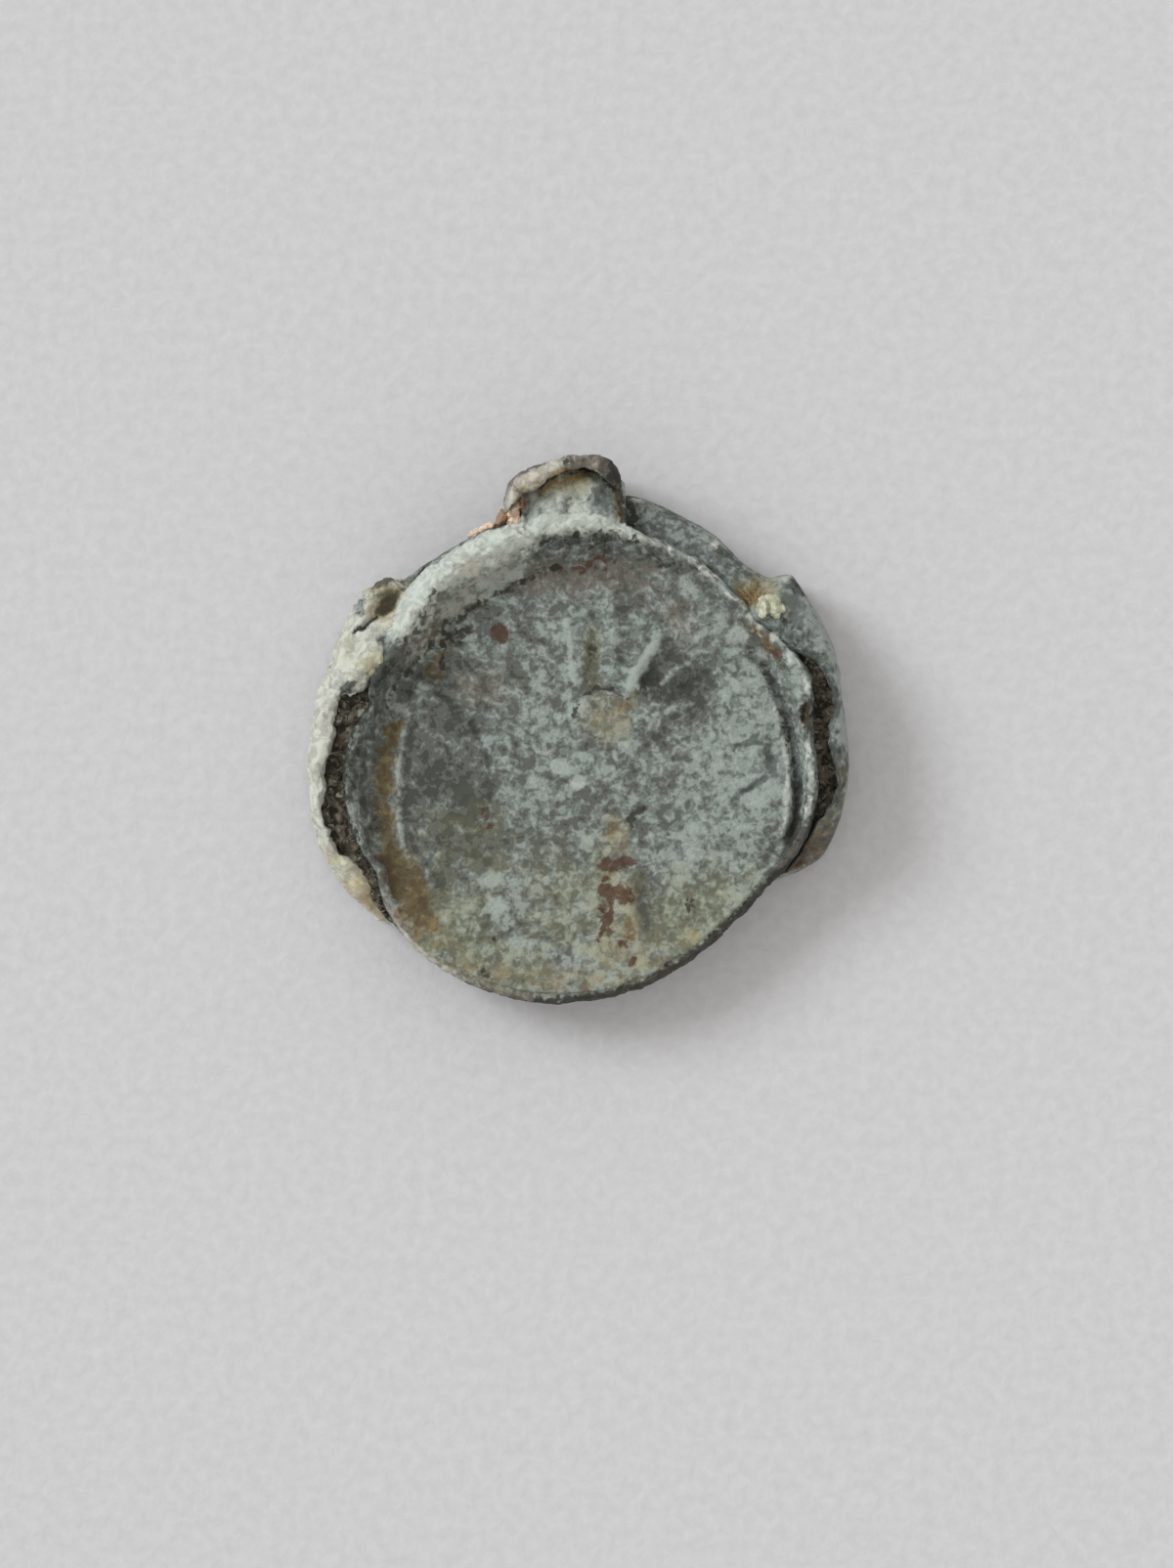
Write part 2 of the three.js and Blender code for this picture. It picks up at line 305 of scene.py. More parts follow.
seal = {
    "plateTop": 1.5, "frontUnder": 1.9, "field": 3.1,   # rear disc's top, front disc's underside and face
    "crest": ringCurve([   # radius of the rim's crest
        (0, 9.0), (13, 9.12), (19, 9.3), (24, 9.75), (29, 9.92), (36, 9.88), (41, 9.75), (46, 9.6),
        (50, 9.75), (55, 9.85), (61, 10.08), (66, 10.32), (72, 10.42), (78, 10.52), (83, 10.65),
        (92, 10.75), (113, 10.65), (126, 10.55), (134, 10.1), (140, 9.85), (146, 9.8), (150, 9.8),
        (154, 9.85), (157, 9.75), (160, 9.6), (164, 9.75), (168, 9.9), (175, 9.98), (184, 9.88),
        (190, 9.66), (195, 9.5), (201, 9.2), (207, 9.4), (214, 9.47), (221, 9.42), (229, 9.24),
        (238, 9.05), (246, 8.86), (265, 8.4), (290, 7.9), (312, 7.65), (330, 7.9),
        (342, 8.5), (352, 8.88)]),
    "flank": ringCurve([   # from the crest to the front disc's edge
        (0, 0.2), (50, 0.2), (80, 0.3), (100, 0.7), (115, 0.85), (126, 0.85), (136, 1.05), (146, 0.95),
        (152, 0.5), (157, 0.15), (330, 0.15)]),
    "rise": ringCurve([   # height of the crest above the field
        (0, 0.75), (13, 0.75), (20, 0.6), (28, 0.75), (40, 0.55), (60, 0.5), (75, 0.75), (92, 1.4),
        (135, 1.5), (150, 1.4), (158, 1.1), (175, 1.2), (188, 1.0), (198, 0.5), (206, 0.16), (213, 0.02),
        (222, -0.05), (235, -0.1), (320, -0.1), (336, 0.1), (348, 0.5)]),
    "foot": ringCurve([   # where the rim meets the die's flat mark
        (0, 8.6), (20, 8.68), (45, 9.08), (60, 9.38), (75, 9.7), (90, 9.65), (97, 9.4), (103, 9.2),
        (113, 8.98), (132, 8.95), (143, 8.9), (151, 9.05), (165, 9.05), (180, 8.98), (195, 9.0), (210, 9.1),
        (340, 8.6)]),
    "groove": ringCurve([   # depth of the channel inside the rim
        (0, 0.46), (14, 0.46), (26, 0.15), (60, 0.1), (95, 0.12), (150, 0.14), (175, 0.18),
        (205, 0.14), (222, 0.0), (332, 0.0), (345, 0.35)]),
    "border": ringCurve([   # radius of the raised border line
        (3, 8.05), (16, 8.2), (60, 8.35), (98, 8.05), (110, 8.15), (127, 8.48), (146, 8.22),
        (161, 8.04), (177, 7.88), (194, 7.96), (206, 7.6), (330, 8.0), (354, 8.02)]),
    "outside": ringCurve([   # the rear disc's outer radius
        (0, 10.4), (12, 10.75), (20, 10.95), (26, 11.34), (36, 11.84), (44, 12.15), (47.5, 12.28),
        (49, 12.05), (50.5, 11.62), (53, 11.48), (57, 11.46), (61, 11.66), (65, 11.88), (70.5, 12.05),
        (76, 12.26), (80, 12.42), (84, 12.5), (88, 12.42), (95, 12.08), (100, 11.98), (111, 11.84),
        (128, 11.73), (131, 11.8), (134, 12.38), (138, 12.52), (145, 12.32), (153, 12.04), (162, 11.87),
        (172, 11.68), (184, 11.5), (190, 11.35), (196, 11.1), (200, 10.88), (206, 10.44), (211, 10.0),
        (216, 9.49), (222, 9.08), (240, 8.71), (265, 8.2), (290, 7.7), (312, 7.45), (325, 7.6),
        (330, 7.82), (336, 8.43), (341, 9.23), (346, 9.86), (352, 10.13)]),
    "lip": ringCurve([   # height of the curled lips above the plate
        (0, 2.3), (20, 2.4), (36, 2.45), (46, 2.3), (49, 1.9), (51, 1.5), (60, 1.5), (72, 1.4), (80, 1.25),
        (86, 1.0), (92, 0.1), (130, 0.0), (133.5, 2.2), (140, 2.85), (146, 3.05), (153, 3.0), (160, 2.75),
        (190, 2.4), (200, 1.8), (206, 1.2), (211, 0.3), (215, 0.0), (333, 0.0), (338, 0.7),
        (345, 1.0), (349, 1.9), (355, 2.2)]),
    "gap": ringCurve([   # between the front disc and the lips; below 0 the lip lies on the rim
        (3, 0.75), (13, 0.55), (19, 0.95), (24, 0.62), (29, 0.5), (33, 0.15), (36, -0.2), (47, -0.25),
        (60, -0.3), (88, -0.2), (125, 0.1), (131, 0.0), (134, -0.6), (138, -1.0), (146, -0.92),
        (151, -0.5), (153.5, -0.25), (155.5, 0.05), (157.5, 0.35), (159.2, 1.15), (163, 1.02), (170, 0.55),
        (177, 0.72), (183, 0.88), (188, 0.98), (194, 0.72), (197, 0.42), (200, 0.4), (206, 0.28),
        (211, 0.08), (222, 0.0), (347, 0.0), (352, 0.1), (355, 0.45)]),
    "rivet": (0.5, 2.9), "rivetHole": 1.05,   # place and radius
    "tongueMiddle": -0.75, "tongueHalf": 2.0, "tongueEnd": 13.28, "tongueTop": 4.4,
    "tongueFall": 0.25, "tongueCrown": 0.5, "bow": 0.14,   # at its end, across it, and in plan
    "tongueAngles": (74, 116),   # where its sides are looked for
}


def frontEdge(angles):
    return seal["crest"](angles) + seal["flank"](angles)


def lipWall(angles):
    return np.minimum(frontEdge(angles) + seal["gap"](angles), seal["outside"](angles) - 0.25)


def inwards(radii, least=0.03):
    # keeps each radius a little inside the one before, where the die ran off the edge
    kept = [radii[0]]
    for r in radii[1:]:
        kept.append(np.minimum(r, kept[-1] - least))
    return kept


def roundPoints(angles, radius):
    turn = np.radians(angles)
    return np.stack([radius * np.cos(turn), radius * np.sin(turn), 0 * turn], 1)

# Front disc

frontLook = {
    "angles": 704,
    "busyAngles": [(83, 1.6, 5), (104, 1.6, 5)],   # the tongue's sides
    "foldStart": 11.2,   # where the folded strip covers the tongue
    "noise": [   # size, seed, height, height added on the rim
        (2.6, 1, 0.05, 0), (0.75, 2, 0.03, 0.055), (0.24, 3, 0.012, 0.016)],
    "chunks": [(0.5, 9, 0.09)],   # size, seed and height of the crust on the rim
    "zones": {   # parts of the rim and the border, in degrees: from, to, softness
        "top": (84, 156, 14), "lit": (103, 124, 6), "upperLeft": (128, 156, 8), "left": (158, 212, 8),
        "lowerLeft": (214, 258, 10), "bottom": (238, 338, 14), "lowerRight": (333, 351, 5),
        "right": (340, 40, 14), "upperRight": (40, 84, 6), "crust": (84, 212, 12),
        "white": (128, 141, 5), "bare": (142, 158, 5), "pink": (98, 150, 10), "pale": (108, 130, 8),
        "ochre": (158, 216, 12), "leftBorder": (145, 199, 12), "rightBorder": (332, 22, 16),
        "topBorder": (30, 135, 30)},
    "arcs": [   # stains and painted shade along a line: mask, from, to, softness, line, away from it, half width, strength
        ("chalk", 40, 84, 6, "crest", 0, 0.28, 0.5), ("chalk", 103, 124, 6, "crest", -0.4, 0.36, 0.42),
        # the slate and soil just inside the crest from 128 to 156 degrees are painted shade along the top
        # of the inner slope
        ("slate_and_shade", 128, 156, 8, "crest", -0.2, 0.22, 1.1), ("soil_and_shade", 128, 156, 8, "crest", -0.2, 0.16, 0.45),
        # the slate and soil at the foot on the right darken the groove inside the rim: dark patina and
        # painted shade together
        ("slate_and_shade", 340, 40, 14, "foot", -0.22, 0.24, 1.1), ("soil_and_shade", 340, 40, 14, "foot", -0.22, 0.24, 0.55),
        # the soil along the foot from 96 to 158 degrees is a painted shadow line under the rim's slope
        ("soil_and_shade", 96, 158, 12, "foot", 0, 0.16, 0.6), ("slate_and_shade", 32, 50, 6, "middle", 9.4, 0.34, 0.9),
        ("blush", 33, 52, 6, "middle", 9.3, 0.35, 0.4), ("ochre", 33, 49, 6, "middle", 9.38, 0.24, 0.5),
        ("rust", 33, 47, 5, "middle", 9.36, 0.16, 0.3)],
    "verges": [   # stains and painted shade up to a line: mask, from, to, softness, line, its start and full, strength
        ("slate_and_shade", 143, 157, 5, "crest", -0.2, 0, 0.55), ("slate_and_shade", 333, 351, 5, "crest", -0.5, -0.2, 0.8),
        ("blush", 333, 351, 5, "crest", -0.5, -0.2, 0.6), ("tone", 333, 351, 5, "crest", -0.5, -0.2, -0.14),
        # the soil from 256 to 338 degrees, on the bottom edge that faces away from the light, is painted
        # shade
        ("blush", 206, 262, 10, "edge", -0.5, -0.1, 0.9), ("soil_and_shade", 256, 338, 14, "edge", -0.46, 0, 1.35),
        # the soil on the left just past the crest darkens the outer wall above the crevice: painted shade
        ("soil_and_shade", 156, 194, 10, "crest", -0.15, 0.05, 0.55)],
    "borderHeight": 0.15, "borderWidth": 0.18,
    "rays": [   # worn generic bars that fan out from the rivet: start, end, half width, height
        (-0.6, 4.5, -1.05, 7.0, 0.36, 0.12),
        (0.75, 4.8, 0.95, 6.7, 0.26, 0.07),
        (1.65, 4.4, 2.75, 6.45, 0.4, 0.22),
        (2.2, 4.1, 4.1, 5.4, 0.3, 0.1),
        (2.4, 3.2, 4.1, 3.6, 0.3, 0.1)],
    "hollows": [   # dents: middle, half sizes, turn, depth
        (2.55, 4.85, 0.5, 0.75, 20, 0.22), (4.2, 4.3, 0.5, 0.9, -30, 0.18),
        (0.12, 5.8, 0.3, 1.3, 0, 0.14), (-5.8, 1.2, 1.4, 1.9, 10, 0.06),
        (2.3, 2.2, 0.7, 0.45, 10, 0.06), (7.3, 1.1, 0.15, 0.35, 15, 0.14),
        (2.2, -4.8, 0.35, 0.7, 10, 0.12), (0.75, -3.9, 0.35, 0.8, 0, 0.08),
        (8.95, 3.1, 0.34, 0.56, 0, 0.8), (-5.55, 6.5, 0.4, 0.3, 20, 0.12),
        (-0.3, 10.2, 1.6, 0.4, 0, 0.1), (7.6, -0.4, 0.4, 0.9, 10, 0.05),
        (-6.1, 6.06, 0.2, 0.24, 20, 0.15), (-6.0, 5.26, 0.2, 0.34, 20, 0.15)],
    "scratches": [   # start, end, half width, depth
        (-6.4, 4.2, -4.9, 2.9, 0.1, 0.1), (-4.9, 2.9, -4.2, 1.3, 0.1, 0.1),
        (-4.2, 1.3, -4.1, -0.6, 0.1, 0.04), (6.1, -0.1, 7.1, 0.6, 0.1, 0.12),
        (-6.7, 4.86, -5.9, 4.7, 0.1, 0.1), (-6.55, 4.45, -5.35, 4.2, 0.1, 0.1),
        (-3.2, -5.6, -1.4, -5.2, 0.1, 0.06), (-2.6, -6.1, 0.6, -5.7, 0.1, 0.05),
        (-4.6, 8.0, -2.0, 8.75, 0.12, 0.08), (2.7, 7.9, 3.8, 7.5, 0.1, 0.08)],
    "tones": [   # lighter or darker parts of the patina, some of them painted shadow: middle, half sizes, turn, amount
        # (-5.7, 1.0), (-4.8, 4.6) and (-5.3, -1.8) darken the left of the field: partly darker patina,
        # partly painted shadow of the rim
        (-5.7, 1.0, 1.9, 2.9, 8, -0.19), (-4.8, 4.6, 1.2, 0.9, -30, -0.12),
        (-5.3, -1.8, 1.6, 1.8, 0, -0.12), (3.6, 5.1, 0.5, 0.7, -20, -0.28),
        (-0.2, 4.6, 0.5, 0.5, 0, -0.25), (6.5, 3.5, 0.9, 1.1, 0, 0.12),
        (4.7, 6.9, 0.7, 0.6, 0, 0.14), (-3.8, 0.2, 0.8, 1.2, 0, 0.08),
        (-2.9, -6.5, 1.4, 0.6, 0, 0.08), (3.5, 3.3, 0.5, 0.4, 0, -0.16),
        # (3.6, 5.1) above, (2.5, 4.7) and (4.3, 4.1) darken the sides of the rays away from the light:
        # painted shadow over darker patina
        (2.5, 4.7, 0.65, 0.75, 30, -0.26), (4.3, 4.1, 0.6, 0.85, -20, -0.26),
        (2.4, 2.2, 0.7, 0.7, 0, -0.1), (6.0, 1.0, 1.9, 2.2, 0, 0.12),
        (4.5, -2.0, 2.8, 1.8, 30, 0.08), (-1.2, 2.6, 1.2, 1.2, 0, 0.06),
        (2.2, -4.4, 0.45, 1.8, 10, -0.14), (-3.4, -3.5, 1.6, 0.6, 0, -0.05),
        (0.0, -6.8, 2.6, 0.7, 5, 0.08), (-4.4, -1.4, 1.0, 1.4, 0, -0.06),
        (1.2, 8.0, 2.6, 0.9, 0, -0.14), (-0.2, 9.2, 3.4, 0.7, 0, -0.12)],
    "stains": {   # middle, half sizes, turn, strength
        "tone": [(-0.2, 1.5, 0.34, 0.26, 0, 0.85), (-1.2, 0.95, 0.6, 0.4, -20, 0.95),
            (-0.6, 0.45, 0.42, 0.32, 0, 1.0), (5.93, 4.34, 0.22, 0.24, 0, 1.0),
            (6.1, 6.4, 0.7, 0.5, 0, 0.8), (-8.95, 2.7, 0.22, 0.45, 15, 0.95),
            (-4.1, -3.5, 0.6, 0.4, 0, 0.8), (-3.9, -4.6, 0.6, 0.6, 0, 0.75)],
        "slate_and_shade": [(-2.15, 9.75, 0.18, 0.22, 0, 0.9), (2.35, 9.8, 0.2, 0.3, 0, 1.0),
            (0.08, 5.7, 0.3, 1.35, 0, 0.8), (-9.2, 3.2, 0.3, 0.7, 10, 0.9),
            (7.3, 1.15, 0.24, 0.55, 12, 1.2), (8.25, 2.85, 0.24, 0.24, 0, 1.5),
            (-7.6, -3.9, 1.9, 0.7, -60, 0.85)],
        "chalk": [(-0.55, 0.42, 0.3, 0.24, 0, 0.4)],
        "blush": [(-0.6, 8.9, 3.4, 0.7, 0, 0.8), (-5.0, 8.2, 1.5, 0.6, 35, 0.8),
            (3.4, 7.4, 1.2, 1.2, 0, 0.4), (-4.6, 4.6, 1.6, 1.0, 0, 0.4), (-1.6, -7.4, 0.8, 0.5, 0, 0.9),
            (-3.6, -7.3, 0.5, 0.4, 0, 0.9)],
        "lichen": [(0.08, 5.7, 0.36, 1.45, 0, 1.0), (0.4, -5.0, 0.8, 1.6, 0, 0.7),
            (-5.4, -5.4, 1.7, 1.6, -40, 0.85), (-3.6, -7.0, 2.0, 0.9, -14, 0.9),
            (4.3, -4.9, 2.1, 1.6, 42, 0.95), (-1.0, -4.6, 3.0, 2.2, 0, 0.6),
            (-4.9, -2.4, 1.8, 2.0, 0, 0.6)],
        "tan": [(1.5, 3.6, 0.4, 0.45, 0, 0.7), (1.0, -1.9, 0.6, 0.9, 5, 0.8),
            (1.3, -5.2, 0.7, 1.2, 10, 0.7), (1.0, -3.6, 0.8, 0.9, 10, 0.62),
            (1.9, -6.3, 0.9, 0.6, -20, 0.66), (1.0, -6.5, 0.9, 0.6, 0, 0.9),
            (2.2, -7.0, 0.9, 0.35, 20, 0.8), (4.0, -5.9, 0.6, 0.3, 40, 0.9),
            (-3.6, -7.3, 0.34, 0.3, 0, 0.6), (0.6, -7.7, 4.2, 0.5, 0, 0.55),
            (-5.8, -6.4, 2.2, 0.5, -40, 0.55)],
        "ochre": [(8.85, 3.15, 0.3, 0.4, 0, 1.2), (0.85, -1.5, 0.3, 0.4, 0, 0.7),
            (1.55, -5.6, 0.3, 0.4, 0, 0.75), (-7.5, -3.9, 1.9, 0.7, -60, 1.1),
            (-7.0, -4.9, 1.2, 0.8, -45, 0.72), (-6.3, 5.6, 0.5, 1.2, -20, 0.4)],
        "rust": [(-3.73, 6.52, 0.36, 0.36, 0, 1.2), (-0.3, 9.3, 1.5, 0.3, 6, 0.52),
            (0.75, -3.05, 0.4, 0.26, -20, 1.1), (1.45, -2.85, 0.45, 0.2, 0, 1.1),
            (0.62, -3.95, 0.28, 0.5, 0, 1.1), (1.2, -4.15, 0.5, 0.34, -25, 1.2),
            (0.8, -5.7, 0.24, 0.24, 0, 0.9), (1.4, -6.25, 0.26, 0.24, 0, 0.9),
            (1.68, -6.9, 0.2, 0.2, 0, 0.8), (0.5, -4.9, 0.3, 0.4, 0, 0.6),
            (-4.25, -1.1, 0.2, 0.5, 15, 0.62)],
        "soil_and_shade": [(-5.45, 6.42, 0.45, 0.24, 20, 1.1), (-5.96, 6.85, 0.1, 0.18, 0, 1.0),
            (-6.1, 6.06, 0.11, 0.16, 20, 1.1), (-6.05, 5.3, 0.13, 0.26, 20, 1.1),
            (0.35, 10.25, 1.5, 0.34, -4, 0.7), (1.85, 10.15, 0.1, 0.2, 0, 0.9),
            (-1.9, 10.1, 0.8, 0.14, 20, 0.7), (0.06, 5.4, 0.16, 0.9, 0, 0.42),
            # (2.45, 4.45) is soil and painted shadow beside a ray
            (2.45, 4.45, 0.4, 0.46, 20, 0.66), (-0.61, 3.2, 0.16, 0.24, -25, 1.2),
            (-0.27, 2.45, 0.1, 0.4, 0, 0.8), (-9.15, 3.6, 0.34, 0.3, 0, 1.0),
            (8.95, 3.1, 0.42, 0.66, 0, 1.4), (1.62, -1.05, 0.22, 0.3, 20, 0.9),
            (3.98, -4.5, 0.22, 0.2, 0, 0.9), (2.1, -0.7, 0.35, 0.18, 40, 0.8),
            (-3.9, -5.95, 0.12, 0.12, 0, 0.9), (-4.3, -7.35, 0.26, 0.18, -20, 0.8)]},
    "streaks": {   # start, end, half width, strength
        "tone": [(-0.6, 4.4, -1.05, 7.0, 0.3, 0.66), (1.6, 4.35, 2.75, 6.45, 0.34, 0.9),
            (2.4, 3.2, 4.0, 3.6, 0.26, 0.6), (2.3, 4.2, 4.0, 5.3, 0.24, 0.6)],
        "slate_and_shade": [(-6.7, 4.86, -5.9, 4.7, 0.12, 0.9), (-6.55, 4.45, -5.35, 4.2, 0.12, 0.9),
            (-6.3, 4.1, -4.8, 2.8, 0.14, 0.8), (-4.85, 2.8, -4.2, 1.3, 0.14, 0.8),
            (-4.2, 1.2, -4.15, -0.4, 0.12, 0.75), (1.1, 4.9, 1.3, 6.5, 0.2, 0.62),
            # (1.1, 4.9) above and these two lie on the sides of the rays away from the light: painted
            # shadow over dark patina
            (2.2, 4.5, 3.2, 5.9, 0.34, 0.75), (3.2, 4.0, 4.8, 4.8, 0.36, 0.75),
            (6.1, -0.1, 7.06, 0.6, 0.14, 1.0), (6.2, 2.1, 7.3, 2.0, 0.12, 0.9),
            (5.9, 2.0, 6.8, 2.35, 0.12, 0.8), (1.75, -3.3, 2.3, -5.6, 0.2, 0.72)],
        "rust": [(0.85, 4.16, 1.5, 3.75, 0.1, 0.7), (0.78, -4.3, 0.72, -5.3, 0.16, 1.0),
            (0.6, -5.3, 0.2, -6.0, 0.14, 1.0)],
        "soil_and_shade": [(2.7, 9.6, 2.85, 9.25, 0.11, 0.8), (2.85, 9.25, 3.3, 9.22, 0.1, 0.8),
            # the next two streaks trace a dark crescent round the top of the rivet: painted shade
            (-0.3, 3.98, 0.15, 4.2, 0.09, 0.9), (0.15, 4.22, 0.8, 4.2, 0.09, 0.95)]},
    "tongue": {
        "from": 10.9, "half": 2.6,   # how far in and to each side of its middle its masks reach
        "stains": {   # middle, half sizes, turn, strength
            "slate_and_shade": [(0.5, 12.1, 0.6, 0.9, -8, 0.95), (0.2, 11.1, 0.5, 0.3, 0, 0.5)],
            "tan": [(-0.9, 12.6, 1.2, 0.55, 14, 1.3)],
            # the ochre and soil on the tongue's right flank, at (1.12, 11.6) and (1.3, 11.5), are painted
            # shadow
            "ochre": [(1.12, 11.6, 0.22, 0.8, 8, 0.8)],
            "soil_and_shade": [(1.3, 11.5, 0.18, 0.8, 8, 0.9)]},
        "streaks": {   # start, end, half width, strength
            # the ochre band and the soil lines here, with the tan at (-0.9, 12.6) above, lie just under the
            # fold's lip: stain and painted shadow of the fold together
            "ochre": [(-2.1, 12.3, -0.2, 12.95, 0.26, 0.85)],
            "soil_and_shade": [(-2.6, 12.4, -1.3, 12.85, 0.14, 0.9), (-1.3, 12.75, -0.6, 12.98, 0.1, 0.8),
                (0.5, 12.75, 0.95, 12.3, 0.14, 0.8)]}},
}


def tongueReach(angles):
    # distance along each ray to the tongue's curved end, and how fully the ray is in the tongue
    first, last = seal["tongueAngles"]
    turn = np.radians(np.clip(angles, first - 2, last + 2))
    reach = np.full(len(angles), seal["tongueEnd"])
    for _ in range(4):
        off = reach * np.cos(turn) - seal["tongueMiddle"]
        reach = (seal["tongueEnd"] - seal["bow"] * off ** 2) / np.sin(turn)
    across = np.abs(reach * 0.93 * np.cos(turn) - seal["tongueMiddle"])
    inside = ramp(seal["tongueHalf"] + 0.12 - across, -0.15, 0.15) * ((angles > first) & (angles < last))
    return reach, inside, np.clip(off, -2.3, 2.3)


def frontControls(angles):
    # the disc's section at each angle, from the axis below to the axis above
    crest, rise, edge = seal["crest"](angles), seal["rise"](angles), frontEdge(angles)
    under, field, level = seal["frontUnder"], seal["field"], 0 * edge
    rim = roundPoints(angles, 9)
    wobble, scallops = lumps(rim, 0.9, 4), lumps(rim, 0.42, 8)
    right = sector(angles, 350, 45, 10)
    crest = crest + 0.06 * wobble + 0.07 * right * scallops
    top = field + rise + 0.08 * wobble * (rise > 0.3) + 0.08 * right * scallops
    foot = np.minimum(seal["foot"](angles) + 0.05 * right * wobble, crest - 0.3)
    groove = seal["groove"](angles)
    flank = edge - crest
    mid = under + 0.5 * (top - under)
    flat = np.minimum(foot - 0.6, 8.1)
    reach, inside, off = tongueReach(angles)
    tip = seal["tongueTop"] - seal["tongueCrown"] * (off / seal["tongueHalf"]) ** 4
    shoulder = tip - seal["tongueFall"]

    def mixed(disc, tongue):
        return disc * (1 - inside) + tongue * inside

    outer = [   # from below the edge, up the wall or the tongue's end, to the rim's crest
        (mixed(edge - 0.5, reach - 0.5), under + level),
        (mixed(edge - 0.1, reach - 0.1), under + 0.05 + level),
        (mixed(edge, reach), under + 0.45 + level),
        (mixed(edge + 0.02, reach + 0.02), mixed(mid, shoulder - 0.6)),
        (mixed(edge - 0.15 * flank, reach - 0.1), mixed(top - 0.42 * (top - mid), shoulder)),
        (mixed(crest + 0.55 * flank, crest + 0.7 * (reach - crest)), mixed(top - 0.2, tip - 0.12)),
        (mixed(crest + 0.2 * flank, crest + 0.3 * (reach - crest)), mixed(top - 0.04, tip + 0.02)),
    ]
    inner = inwards([   # from the crest down to the flat face
        crest, crest - 0.2, foot + 0.45 * (crest - foot), foot + 0.08, foot - 0.08, foot - 0.4, flat])
    heights = [
        top, top - 0.05, field + (0.42 + 0.36 * right) * rise, field + 0.03 * rise,
        field - groove, field - 0.9 * groove, field + level]
    controls = [(level, under + level), (edge * 0.5, under + level)] + outer + list(zip(inner, heights))
    steps = 8   # controls across the flat face
    controls += [(inner[-1] * (1 - k / steps), field + level) for k in range(1, steps + 1)]
    counts = [4, 5, 3, 3, 4, 5, 6, 8, 7, 5, 7, 6, 3, 4, 4] + [11] * steps
    return controls, counts


def frontRelief(points, r, angle, zone):
    # what the die and the years left on the face, as a height
    x, y = swayed(points, 0.1, 0.8, 63)
    line = seal["border"](angle) + 0.05 * lumps(points, 0.7, 65)
    border = np.maximum(np.maximum(zone["leftBorder"], zone["rightBorder"]), 0.45 * zone["topBorder"])
    border = border * band(r, line, frontLook["borderWidth"])
    height = frontLook["borderHeight"] * border
    for *bar, tall in frontLook["rays"]:
        height += tall * stroke(x, y, *bar)
    for *oval, deep in frontLook["hollows"]:
        height -= deep * spot(x, y, *oval)
    for *bar, deep in frontLook["scratches"]:
        height -= deep * stroke(x, y, *bar)
    return height, border


def makeFrontDisc():
    angles = spreadAngles(frontLook["angles"], frontLook["busyAngles"])
    piece = turnedMesh("front_disc_struck", angles, *frontControls(angles))[0]
    points, normals = shapeOf(piece)
    x, y, z = points.T
    r, angle = polar(x, y)
    zone = zonesOf(frontLook, angle)
    crest = seal["crest"](angle)
    face = ramp(normals[:, 2], 0.2, 0.7) * ramp(crest - r, -0.1, 0.3)
    height, border = frontRelief(points, r, angle, zone)
    rim = ramp(r, crest - 0.7, crest - 0.2)
    crust = rim * zone["crust"] * ramp(z, 3.3, 3.9) * (y < frontLook["foldStart"])
    layers, offset = weather(points, frontLook["noise"], rim)
    offset += crust * chunks(points, frontLook["chunks"])
    offset = np.where(normals[:, 2] < -0.6, 0.4 * offset, offset)   # smoother below
    moved = points + normals * offset[:, None]
    moved[:, 2] += height * face
    setPoints(piece, moved)
    masks = frontMasks(points, r, angle, normals[:, 2], border, zone)
    masks["tone"] += 0.06 * (layers[0] + layers[1])
    paint(piece, masks)
    cutHole(piece)
    return piece


